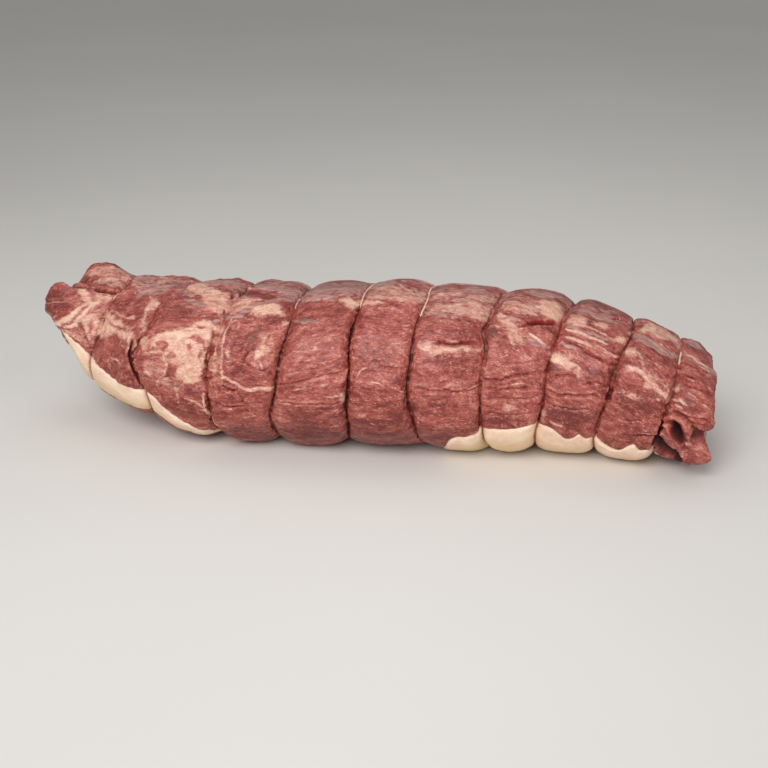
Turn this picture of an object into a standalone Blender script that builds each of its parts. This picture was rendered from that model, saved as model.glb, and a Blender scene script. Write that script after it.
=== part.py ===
"""Rolled and tied beef joint: lean meat, fat cap and ten loops of twine.

Metres, +Z up.  The joint lies along X, its fat side down on z = 0, with the
front of the joint toward -Y.  Angles round a section are in degrees: 0 is the
front, 90 the top, 180 the back and 270 (or -90) the underside.
"""
import math

import bpy
import numpy as np

MM = 0.001
JOINT_NAME = "rolled_beef_joint"
MIDDLE = (-8.2, 6.7, 0.0)   # middle of the outline, in the stations below (mm)

# Sections of the joint between its ties, millimetres: station along X, middle
# across Y, height of the top, height of the underside, half width across Y.
SECTIONS = (
    (-246.0, 23.0, 105.0, 66.0, 25.0),
    (-230.0, 28.0, 110.0, 48.0, 36.5),
    (-202.0, 26.0, 108.5, 22.0, 46.5),
    (-165.0, 16.0, 109.0, 10.0, 56.0),
    (-120.0, 7.0, 110.5, 1.0, 60.0),
    (-60.0, 3.0, 113.0, -2.0, 62.0),
    (0.0, 5.0, 117.0, -2.0, 62.5),
    (60.0, 8.0, 115.0, -2.0, 62.0),
    (120.0, 13.0, 107.5, -1.5, 59.0),
    (170.0, 9.0, 97.0, -1.5, 55.5),
    (212.0, 3.0, 86.0, -1.0, 51.0),
    (232.0, 0.0, 80.0, 0.0, 46.0),
)
SECTION_POWER = 2.1         # 2 is an ellipse, more is squarer

# Ties: station along X, how far the top leans along +X, how far the front is
# drawn along -X (all mm), and how deep the string bites at its tightest.
TIES = (
    (-202.0, 23.0, 6.0, 4.5),
    (-151.0, 9.0, 14.0, 5.0),
    (-106.0, 9.0, 9.0, 5.5),
    (-63.0, 14.0, 5.0, 7.0),
    (-14.0, 7.0, 4.0, 7.0),
    (34.0, -3.0, 8.0, 5.0),
    (84.0, -3.0, 11.0, 5.0),
    (122.0, 17.0, 8.0, 5.0),
    (163.0, 22.0, 6.0, 5.5),
    (202.0, 14.0, 5.0, 6.0),
)
GROOVE_HALF = 2.2           # flat bottom of a groove, either side of the string
PILLOW_POWER = 2.6          # fullness of the meat between two ties

LEFT_END = -238.0           # last full section at the thin end
RIGHT_END = 228.0           # last full section at the thick end

# Fat cap
CAP_THICK = 8.5
CAP_RIM = 2.0               # thickness at its front and back edges
CAP_FROM = -236.0
CAP_TO = 212.0
CAP_BACK = 214.0            # angle of its back edge
CAP_GAP = 0.45              # clearance to the lean, all round
# Angle of the cap's front edge at stations along the joint.
CAP_FRONT = (
    (-250.0, 14.0), (-203.0, -2.0), (-165.0, -12.0), (-125.0, -27.0),
    (-85.0, -60.0), (-30.0, -68.0), (30.0, -58.0), (60.0, -28.0), (95.0, -17.0),
    (135.0, -16.0), (160.0, -22.0), (195.0, -20.0), (215.0, -38.0),
)

# Twine
STRING_RADIUS = 0.9
STRING_LIFT = 0.95          # clearance from the bottom of its groove
KNOT_ANGLE = 118.0          # knots sit on the top, just behind the ridge
KNOT_SWELL = 2.3            # the knot against the string, radius to radius
STRING_POINTS = 22

RING_LEAN = 18              # segments of a section over the lean
RING_CAP = 8                # and over the fat cap
STEP_TOP = 2.2              # degrees from the cap's edge to the lean above it
STEP_FOOT = 1.1             # and to the foot of that step


def through(x, table, column):
    """Smooth curve through one column of a table of stations (Hermite)."""
    xs = np.array([row[0] for row in table])
    ys = np.array([row[column] for row in table])
    slopes = np.gradient(ys, xs)
    x = np.clip(np.asarray(x, float), xs[0], xs[-1])
    k = np.clip(np.searchsorted(xs, x) - 1, 0, len(xs) - 2)
    h = xs[k + 1] - xs[k]
    t = (x - xs[k]) / h
    return ((2 * t**3 - 3 * t**2 + 1) * ys[k] + (t**3 - 2 * t**2 + t) * h * slopes[k]
            + (3 * t**2 - 2 * t**3) * ys[k + 1] + (t**3 - t**2) * h * slopes[k + 1])


def fullness(u):
    """1 in the middle of the meat between two ties, 0 at a string."""
    xs = np.array([-262.0] + [row[0] for row in TIES] + [262.0])
    u = np.asarray(u, float)
    k = np.clip(np.searchsorted(xs, u) - 1, 0, len(xs) - 2)
    low = xs[k] + np.where(k > 0, GROOVE_HALF, 0.0)
    high = xs[k + 1] - np.where(k < len(xs) - 2, GROOVE_HALF, 0.0)
    t = np.clip((u - low) / (high - low), 0.0, 1.0)
    t = np.where(k == 0, 0.5 + 0.5 * t, t)
    t = np.where(k == len(xs) - 2, 0.5 * t, t)
    return 1.0 - np.abs(2.0 * t - 1.0) ** PILLOW_POWER


def lumps(u, angle):
    """Slow unevenness of the rolled meat, in mm, from a few crossed waves."""
    a = np.radians(angle)
    return (1.1 * np.sin(u / 31.0 + 2.0 * a + 0.6) + 0.9 * np.sin(u / 17.0 - 3.0 * a)
            + 0.7 * np.sin(u / 53.0 + 4.0 * a + 1.9))


def outer(u, angle, inset=0.0):
    """Point on the outside of the joint, mm, or the given depth below it."""
    u, angle = np.broadcast_arrays(np.asarray(u, float), np.asarray(angle, float))
    a = np.radians(angle)
    mid = through(u, SECTIONS, 1)
    top = through(u, SECTIONS, 2)
    low = through(u, SECTIONS, 3)
    half = through(u, SECTIONS, 4)
    bite = through(u, TIES, 3) * (1.0 - fullness(u))
    swell = lumps(u, angle) * fullness(u)
    centre = 0.5 * (top + low)
    high = 0.5 * (top - low)
    across = np.maximum(half + swell - bite - inset, 0.5)
    upward = np.maximum(high + swell - bite - inset, 0.5)
    e = 2.0 / SECTION_POWER
    ca, sa = np.cos(a), np.sin(a)
    y = mid - across * np.sign(ca) * np.abs(ca) ** e
    z = centre + upward * np.sign(sa) * np.abs(sa) ** e
    x = u + through(u, TIES, 1) * 0.5 * sa - through(u, TIES, 2) * ca
    return np.stack([x, y, np.maximum(z, inset * 0.9)], axis=-1)


def step(value, start, end):
    """Smooth step: 0 at start, 1 at end."""
    t = np.clip((np.asarray(value, float) - start) / (end - start), 0.0, 1.0)
    return t * t * (3.0 - 2.0 * t)


def bump(angle, middle, width):
    """Bell over an angle, in degrees."""
    return np.exp(-((np.asarray(angle, float) - middle) / width) ** 2)


def ragged(points, u, angle):
    """Thin end: an ear in front, a cleft over it, a lump behind (mm)."""
    near = step(-np.asarray(u, float), 204.0, 236.0)
    ear = near * bump(angle, 38.0, 28.0)
    cleft = near * bump(angle, 92.0, 11.0)
    lump = near * bump(angle, 126.0, 22.0)
    points[..., 0] += 2.0 * lump - 15.0 * ear
    points[..., 1] += 2.0 * lump
    points[..., 2] += 3.5 * lump - 13.0 * cleft
    return points


def folded(points, u, angle):
    """Thick end: a hollow under a curled flap, low in front, and its tail (mm)."""
    turn = (np.asarray(angle, float) + 180.0) % 360.0 - 180.0
    near = step(u, 204.0, 222.0)
    hollow = bump(u, 212.0, 8.0) * bump(turn, -22.0, 10.0)
    notch = near * bump(turn, -12.0, 9.0)
    tail = near * bump(turn, -40.0, 18.0)
    points[..., 0] += 6.0 * tail - 4.0 * notch
    points[..., 1] += 7.0 * hollow + 3.0 * notch - 2.0 * tail
    return points


def formed(u, angle, inset=0.0):
    """Point on the joint with its two uneven ends."""
    return folded(ragged(outer(u, angle, inset), u, angle), u, angle)


def placed(points):
    """From the stations' millimetres to metres about the origin."""
    return (np.asarray(points, float) - np.array(MIDDLE)) * MM


def cap_depth(u, v):
    """Thickness of the fat cap; v runs 0 to 1 from its back to its front edge."""
    full = CAP_THICK * (1.0 - 0.45 * step(np.asarray(u, float), 150.0, 212.0))
    return CAP_RIM + (full - CAP_RIM) * (1.0 - np.abs(2.0 * v - 1.0) ** 5)


def stations():
    """Stations along the joint: close together at a string, wider between."""
    rows = list(np.linspace(LEFT_END, TIES[0][0] - 9.0, 4))
    for index, tie in enumerate(TIES):
        at = tie[0]
        rows += [at - GROOVE_HALF, at + GROOVE_HALF]
        if index + 1 < len(TIES):
            gap = TIES[index + 1][0] - at
            rows += [at + 0.16 * gap, at + 0.38 * gap, at + 0.62 * gap, at + 0.84 * gap]
    return np.array(rows)


def lean_ring(u, inset_on):
    """One closed section of the lean, with the seat for the cap let into it."""
    front = float(through(u, CAP_FRONT, 1))
    top = np.linspace(front + STEP_TOP, CAP_BACK - STEP_TOP, RING_LEAN + 1)
    seat = np.linspace(CAP_BACK - STEP_FOOT, 360.0 + front + STEP_FOOT, RING_CAP + 1)
    v = np.linspace(0.0, 1.0, RING_CAP + 1)
    depth = (cap_depth(u, v) + CAP_GAP) * inset_on
    return np.concatenate([formed(u, top), formed(u, seat, depth)])


def cap_ring(u):
    """One closed section of the fat cap: out along its skin, back inside."""
    front = float(through(u, CAP_FRONT, 1))
    angle = np.linspace(CAP_BACK, 360.0 + front, RING_CAP + 1)
    v = np.linspace(0.0, 1.0, RING_CAP + 1)
    return np.concatenate([formed(u, angle), formed(u, angle, cap_depth(u, v))[::-1]])


def thin_end(rim, steps=4):
    """Rings that close the thin end, drawn in to a low cone."""
    core = np.array([-251.0, 25.0, 84.0])
    rings = []
    for k in range(1, steps):
        f = k / steps
        ring = rim * (1.0 - f) + core * f
        ring[:, 0] -= 5.0 * math.sin(math.pi * f)
        rings.append(ring)
    return rings, core


def thick_end(rim, steps=6):
    """Rings that close the thick end as a loosely curled, rolled cut."""
    core = np.array([RIGHT_END + 3.0, rim[:, 1].mean(), rim[:, 2].mean()])
    turn = np.arctan2(rim[:, 2] - core[2], rim[:, 1] - core[1])
    rings = []
    for k in range(1, steps):
        f = k / steps
        ring = rim * (1.0 - f) + core * f
        curl = np.sin(2.0 * math.pi * f * 1.5 + turn)
        ring[:, 0] = rim[:, 0] * (1.0 - f) + core[0] * f
        ring[:, 0] += 4.5 * math.sqrt(f) - 3.2 * curl * math.sin(math.pi * f)
        rings.append(ring)
    return rings, core


def loft(rings, first, last):
    """Closed mesh through equal rings of points, with a point at each end."""
    count = len(rings[0])
    points = placed(np.concatenate([np.asarray(first)[None]] + list(rings)
                                   + [np.asarray(last)[None]]))
    faces = []
    for j in range(count):
        after = (j + 1) % count
        faces.append((0, 1 + j, 1 + after))
        for k in range(len(rings) - 1):
            a, b = 1 + k * count + j, 1 + k * count + after
            faces.append((a, b + count, b))
            faces.append((a, a + count, b + count))
        base = 1 + (len(rings) - 1) * count
        faces.append((base + after, base + j, len(points) - 1))
    return points, faces


def clear_scene():
    for item in list(bpy.data.objects):
        bpy.data.objects.remove(item, do_unlink=True)


def make_material(name, colour, roughness):
    material = bpy.data.materials.new(name)
    material.use_nodes = True
    shader = material.node_tree.nodes["Principled BSDF"]
    shader.inputs["Base Color"].default_value = (*colour, 1.0)
    shader.inputs["Roughness"].default_value = roughness
    shader.inputs["Metallic"].default_value = 0.0
    return material


def add_mesh(collection, name, points, faces, material):
    mesh = bpy.data.meshes.new(name)
    mesh.from_pydata([tuple(p) for p in points], [], faces)
    mesh.validate()
    mesh.materials.append(material)
    mesh.shade_smooth()
    item = bpy.data.objects.new(name, mesh)
    collection.objects.link(item)
    return item


def add_tie(collection, name, tie, material):
    """A loop of string in its groove, swollen where it is knotted."""
    curve = bpy.data.curves.new(name, "CURVE")
    curve.dimensions = "3D"
    curve.bevel_depth = STRING_RADIUS * MM
    curve.bevel_resolution = 2
    curve.use_fill_caps = False
    spline = curve.splines.new("POLY")
    spline.points.add(STRING_POINTS - 1)
    spline.use_cyclic_u = True
    angles = KNOT_ANGLE + np.arange(STRING_POINTS) * 360.0 / STRING_POINTS
    lift = np.full(STRING_POINTS, STRING_RADIUS + STRING_LIFT)
    lift[0] += STRING_RADIUS * (KNOT_SWELL - 1.0) + 0.3
    places = placed(outer(tie[0], angles % 360.0, -lift))
    for index, (point, place) in enumerate(zip(spline.points, places)):
        point.co = (*place, 1.0)
        point.radius = KNOT_SWELL if index == 0 else 1.0
    curve.materials.append(material)
    item = bpy.data.objects.new(name, curve)
    collection.objects.link(item)
    return item


def build():
    clear_scene()
    parts = bpy.data.collections.new(JOINT_NAME)
    bpy.context.scene.collection.children.link(parts)
    lean = make_material("lean_beef", (0.40, 0.125, 0.10), 0.45)
    fat = make_material("beef_fat", (0.73, 0.50, 0.34), 0.50)
    twine = make_material("cotton_twine", (0.78, 0.66, 0.50), 0.85)

    rows = stations()
    step_row = [CAP_TO + 0.5, CAP_TO + 1.6, 221.0, RIGHT_END]
    rings = [lean_ring(u, 1.0) for u in rows]
    rings.append(lean_ring(step_row[0], 1.0))
    rings += [lean_ring(u, 0.0) for u in step_row[1:]]
    left, left_core = thin_end(rings[0])
    right, right_core = thick_end(rings[-1])
    points, faces = loft(left[::-1] + rings + right, left_core, right_core)
    add_mesh(parts, "beef", points, faces, lean)

    cap_rows = np.concatenate([[CAP_FROM], rows[1:], [CAP_TO]])
    rings = [cap_ring(u) for u in cap_rows]
    points, faces = loft(rings, rings[0].mean(axis=0), rings[-1].mean(axis=0))
    add_mesh(parts, "fat_cap", points, faces, fat)

    for index, tie in enumerate(TIES):
        add_tie(parts, f"tie_{index + 1:02d}", tie, twine)


build()
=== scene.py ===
import math
import bpy
import mathutils
import numpy as np
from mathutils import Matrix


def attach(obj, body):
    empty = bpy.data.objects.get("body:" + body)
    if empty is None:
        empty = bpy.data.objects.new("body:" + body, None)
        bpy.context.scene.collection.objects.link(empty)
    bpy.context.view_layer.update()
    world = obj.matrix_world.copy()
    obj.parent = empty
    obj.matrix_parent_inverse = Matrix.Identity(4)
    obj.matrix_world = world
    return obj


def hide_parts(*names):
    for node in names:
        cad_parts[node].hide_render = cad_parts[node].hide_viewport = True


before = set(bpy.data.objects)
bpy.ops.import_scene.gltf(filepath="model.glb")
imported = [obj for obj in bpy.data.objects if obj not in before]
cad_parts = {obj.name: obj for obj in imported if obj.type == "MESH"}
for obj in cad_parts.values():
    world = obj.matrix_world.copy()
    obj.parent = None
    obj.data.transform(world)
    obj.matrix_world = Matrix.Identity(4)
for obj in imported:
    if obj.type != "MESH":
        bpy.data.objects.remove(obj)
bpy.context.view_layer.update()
mm = 0.001

# Stations run along X in millimetres; the middle of the outline is at -8.2, 6.7.
# Angles go round a section: 0 the front, 90 the top, 180 the back, 270 the underside.
joint = {
    "middle": (-8.2, 6.7, 0.0),
    # station, middle across, top, underside, half width
    "sections": [(-246, 23, 105, 66, 25), (-230, 28, 110, 48, 36.5), (-202, 26, 108.5, 22, 46.5),
                 (-165, 16, 109, 10, 56), (-120, 7, 110.5, 1, 60), (-60, 3, 113, -2, 62),
                 (0, 5, 117, -2, 62.5), (60, 8, 115, -2, 62), (120, 13, 107.5, -1.5, 59),
                 (170, 9, 97, -1.5, 55.5), (212, 3, 86, -1, 51), (232, 0, 80, 0, 46)],
    "squareness": 2.1,      # power of the sections: 2 gives an ellipse, more a squarer one
    # how full the meat stands between two ties: at least, more on the shown side, and that
    # side's angle and spread
    "fullness": (2.6, 5.5, 15, 50),
    # broad waves of the skin: height, length, turns round the section, start
    "waves": [(1.1, 31, 2, 0.6), (0.9, 17, -3, 0), (0.7, 53, 4, 1.9)],
    # station, lean of the top, draw of the front, bite of the string
    "ties": [(-202, 23, 6, 4.5), (-151, 9, 14, 5), (-106, 9, 9, 5.5), (-63, 14, 5, 7),
             (-14, 7, 4, 7), (34, -3, 8, 5), (84, -3, 11, 5), (122, 17, 8, 5),
             (163, 22, 6, 5.5), (202, 14, 5, 6)],
    # local swells of the top: station, half length, angle, half turn, height
    "swells": [(-182, 15, 100, 42, -1.6), (-84, 14, 100, 45, -3.4), (-13, 5, 100, 40, 3),
               (146, 14, 100, 42, -1.8), (188, 13, 100, 42, -3)],
    # lobes of both ends: station where each starts, station where it is full, angle, spread
    # and its push along X, Y and Z
    "lobes": [
        (-204, -236, 23, 26, -11, 0, 0),    # thin end: an ear in front
        (-218, -237, 44, 11, -4, 0, 6),     # the ear's brow
        (-204, -236, 74, 14, 0, 0, -12),    # a cleft over the ear
        (-204, -236, 118, 30, -5, 2, 0),    # a lump behind
        (-210, -224, 114, 22, 0, 0, 4),     # the lump's flat top
        (-218, -237, 114, 22, 0, 0, 1),
        (-204, -236, -42, 34, 12, 0, 0),    # drawn in underneath
        (204, 226, -14, 9, -1.5, 3, 0),     # thick end: a notch
        (204, 226, -40, 22, 9, -11, 0),     # a tail that comes forward on the board
        (204, 226, 4, 30, 4, 0, 0),         # a slanted cut, fullest in front
        (204, 226, 3, 8, 2, 0, 0),
        (204, 226, 112, 36, -7, 0, 0),      # and drawn back at the top
        (204, 226, 80, 40, 0, 0, -4), (216, 228, 96, 34, 0, 0, -4)],
    # station and height of the cap's front edge
    "capFront": [(-250, -5), (-238, -5), (-225, -3.5), (-205, -4.5), (-199, -7), (-190, -7.5),
                 (-180, -10), (-168, -12.5), (-152, -13), (-144, -14), (-138, -21), (-130, -31),
                 (-120, -39), (-108, -50), (-98, -64), (-85, -76), (-30, -84), (25, -80),
                 (46, -70), (53, -50), (58, -39), (64, -34), (74, -31.5), (82, -29), (85, -24),
                 (92, -22), (102, -21.5), (112, -19), (120, -17), (130, -17.5), (137, -22),
                 (143, -27), (148, -25), (151, -22), (156, -26), (162, -23), (167, -27),
                 (174, -32), (180, -31), (184, -25), (187, -22), (190, -27), (198, -26),
                 (203, -30), (208, -42), (215, -58)],
    "slide": 14,            # how far from a string its wander along X is felt, mm
    # the wander of every string: height, length and start of its waves, and its mean; then
    # single bends: reach, height and spread for the tie of that number
    "wander": [(1.3, 19, 2.1), (0.7, 7.3, 4.7)],
    "wanderMean": -0.8,
    "bends": {1: (-8, 15, 15), 6: (-3.5, 45, 7)},
    # stations, and how far the fibres have dropped there, mm: they climb at the thin end
    # and fall toward the thick end
    "tiltAt": (-270, -150, -62, -14, 95, 262), "tilt": (42, 0, 0, -10.56, -10.56, 49.56),
    "capBack": 214,         # angle of the cap's back edge
    "capThick": 8.5,        # its thickness underneath, mm
    "leftEnd": -238, "rightEnd": 228,   # first and last station
}
tieAt = np.array([t[0] for t in joint["ties"]], float)


def through(x, table, column):
    # smooth curve through one column of a table of stations (cubic, slopes by differences)
    xs = np.array([row[0] for row in table], float)
    ys = np.array([row[column] for row in table], float)
    slopes = np.gradient(ys, xs)
    x = np.clip(np.asarray(x, float), xs[0], xs[-1])
    k = np.clip(np.searchsorted(xs, x) - 1, 0, len(xs) - 2)
    h = xs[k + 1] - xs[k]
    t = (x - xs[k]) / h
    return ((2 * t**3 - 3 * t**2 + 1) * ys[k] + (t**3 - 2 * t**2 + t) * h * slopes[k]
            + (3 * t**2 - 2 * t**3) * ys[k + 1] + (t**3 - t**2) * h * slopes[k + 1])


def smooth(value, start, end):
    # 0 before start, 1 after end, an S between
    t = np.clip((np.asarray(value, float) - start) / (end - start), 0, 1)
    return t * t * (3 - 2 * t)


def bell(value, middle, width):
    # bell curve, 1 at the middle
    return np.exp(-((value - middle) / width) ** 2)


def wrapped(angle):
    # the same angle, between -180 and 180
    return (angle + 180) % 360 - 180


def nearest(values, wanted):
    # number of the value that lies nearest to the one wanted
    return int(np.abs(values - wanted).argmin())


def makeNoise(seed):
    # gradient noise in three dimensions, about -1 to 1, on a lattice of seeded directions
    rng = np.random.default_rng(seed)
    order = rng.permutation(256)
    order = np.concatenate([order, order, order])
    ways = rng.normal(size=(256, 3)).astype(np.float32)
    ways /= np.linalg.norm(ways, axis=1, keepdims=True)

    def noise(x, y, z):
        x, y, z = np.broadcast_arrays(x, y, z)
        shape = x.shape
        p = np.stack([x.ravel(), y.ravel(), z.ravel()]).astype(np.float32)
        cell = np.floor(p)
        f = p - cell
        cell = cell.astype(np.int32) & 255
        w = f * f * f * (f * (f * 6 - 15) + 10)
        total = np.zeros(p.shape[1], np.float32)
        for corner in range(8):
            dx, dy, dz = corner & 1, corner >> 1 & 1, corner >> 2 & 1
            index = order[order[order[cell[0] + dx & 255] + cell[1] + dy & 255]
                          + cell[2] + dz & 255]
            way = ways[index]
            dot = way[:, 0] * (f[0] - dx) + way[:, 1] * (f[1] - dy) + way[:, 2] * (f[2] - dz)
            wx = w[0] if dx else 1 - w[0]
            wy = w[1] if dy else 1 - w[1]
            wz = w[2] if dz else 1 - w[2]
            total += dot * wx * wy * wz
        return (total * 1.6).reshape(shape)
    return noise


noiseA, noiseB, noiseC = makeNoise(11), makeNoise(23), makeNoise(37)


def layered(layers, x, y, z, shape=None):
    # noises added up: each has its height, its noise, its lengths along and across the grain
    # and a shift; shape may turn each noise into crests or lines first
    total = 0
    for height, noise, along, across, shift in layers:
        value = noise(x / along, y / across, z / across + shift)
        total = total + height * (shape(value) if shape else value)
    return total


def crests(value):
    # 1 along the middle of a noise, less away from it
    return 1 - 2.2 * np.abs(value)


def fullness(u, power):
    # 1 in the middle of the meat between two ties, 0 at a string
    xs = np.concatenate([[-262], tieAt, [262]])
    k = np.clip(np.searchsorted(xs, u) - 1, 0, len(xs) - 2)
    t = np.clip((u - xs[k]) / (xs[k + 1] - xs[k]), 0, 1)
    t = np.where(k == 0, 0.5 + 0.5 * t, t)
    t = np.where(k == len(xs) - 2, 0.5 * t, t)
    return 1 - np.abs(2 * t - 1) ** power


def skin(u, angle, inset=0.0):
    # outside of the joint: a squared ellipse for each station, pinched at the ties,
    # leaned and drawn along X with the strings, and cut off flat on the board
    a = np.radians(angle)
    mid, top, low, half = (through(u, joint["sections"], k) for k in (1, 2, 3, 4))
    least, more, side, spread = joint["fullness"]
    full = fullness(u, least + more * bell(wrapped(angle), side, spread))
    bite = through(u, joint["ties"], 3) * (1 - full)
    wave = sum(height * np.sin(u / length + turns * a + start)
               for height, length, turns, start in joint["waves"]) * full
    for at, reach, side, spread, height in joint["swells"]:
        wave = wave + height * bell(u, at, reach) * bell(angle % 360, side, spread)
    across = np.maximum(half + wave - bite - inset, 0.5)
    upward = np.maximum(0.5 * (top - low) + wave - bite - inset, 0.5)
    e = 2 / joint["squareness"]
    ca, sa = np.cos(a), np.sin(a)
    y = mid - across * np.sign(ca) * np.abs(ca) ** e
    z = 0.5 * (top + low) + upward * np.sign(sa) * np.abs(sa) ** e
    x = u + through(u, joint["ties"], 1) * 0.5 * sa - through(u, joint["ties"], 2) * ca
    return np.stack([x, y, np.maximum(z, inset * 0.9)], axis=-1)


def ends(p, u, angle):
    # both loose ends: each lobe pushes the skin where it lies, more toward the end
    p = p.copy()
    for start, full, side, spread, *push in joint["lobes"]:
        share = smooth(u, start, full) * bell(wrapped(angle - side), 0, spread)
        p += share[..., None] * np.array(push, float)
    return p


def outward(p):
    # unit normals of a grid of points, from the differences along its two ways
    n = np.cross(np.gradient(p, axis=1), np.gradient(p, axis=0))
    size = np.linalg.norm(n, axis=-1, keepdims=True)
    return -n / np.maximum(size, 1e-9)


def addMesh(name, points, faces, layers, material, node=None):
    # a closed mesh in metres from points in station millimetres, with its named layers
    mesh = bpy.data.meshes.new(name)
    points = (points - np.array(joint["middle"])) * mm
    quads = np.asarray(faces, np.int32)
    mesh.vertices.add(len(points))
    mesh.vertices.foreach_set("co", points.astype(np.float32).ravel())
    mesh.loops.add(quads.size)
    mesh.loops.foreach_set("vertex_index", quads.ravel())
    mesh.polygons.add(len(quads))
    mesh.polygons.foreach_set("loop_start", np.arange(len(quads), dtype=np.int32) * quads.shape[1])
    mesh.update(calc_edges=True)
    mesh.validate()
    mesh.polygons.foreach_set("use_smooth", np.ones(len(mesh.polygons), bool))
    for label, values in layers.items():
        kind = "FLOAT_COLOR" if values.shape[1] == 4 else "FLOAT_VECTOR"
        layer = mesh.attributes.new(label, kind, "POINT")
        field = "color" if kind == "FLOAT_COLOR" else "vector"
        layer.data.foreach_set(field, values.astype(np.float32).ravel())
    mesh.materials.append(material)
    item = bpy.data.objects.new(name, mesh)
    bpy.context.scene.collection.objects.link(item)
    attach(item, "root")
    if node:
        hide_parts(node)
    return item


def gridFaces(rows, columns, first=0):
    # quads of a grid of points, closed round its columns
    r = np.arange(rows - 1)[:, None] * columns
    c = np.arange(columns)[None]
    after = (c + 1) % columns
    return (np.stack([r + c, r + after, r + columns + after, r + columns + c], -1)
            .reshape(-1, 4) + first)


def closeEnds(points, faces, rows, columns):
    # a fan of narrow quads over each open end, drawn to the ring's middle
    total = len(points)
    middles = np.stack([points[:columns].mean(0), points[(rows - 1) * columns:].mean(0)])
    c = np.arange(0, columns - 1, 2)
    low = np.stack([c, np.full_like(c, total), (c + 2) % columns, c + 1], -1)
    base = (rows - 1) * columns
    high = np.stack([base + c, base + c + 1, base + (c + 2) % columns,
                     np.full_like(c, total + 1)], -1)
    return np.concatenate([points, middles]), np.concatenate([faces, low, high])


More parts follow.
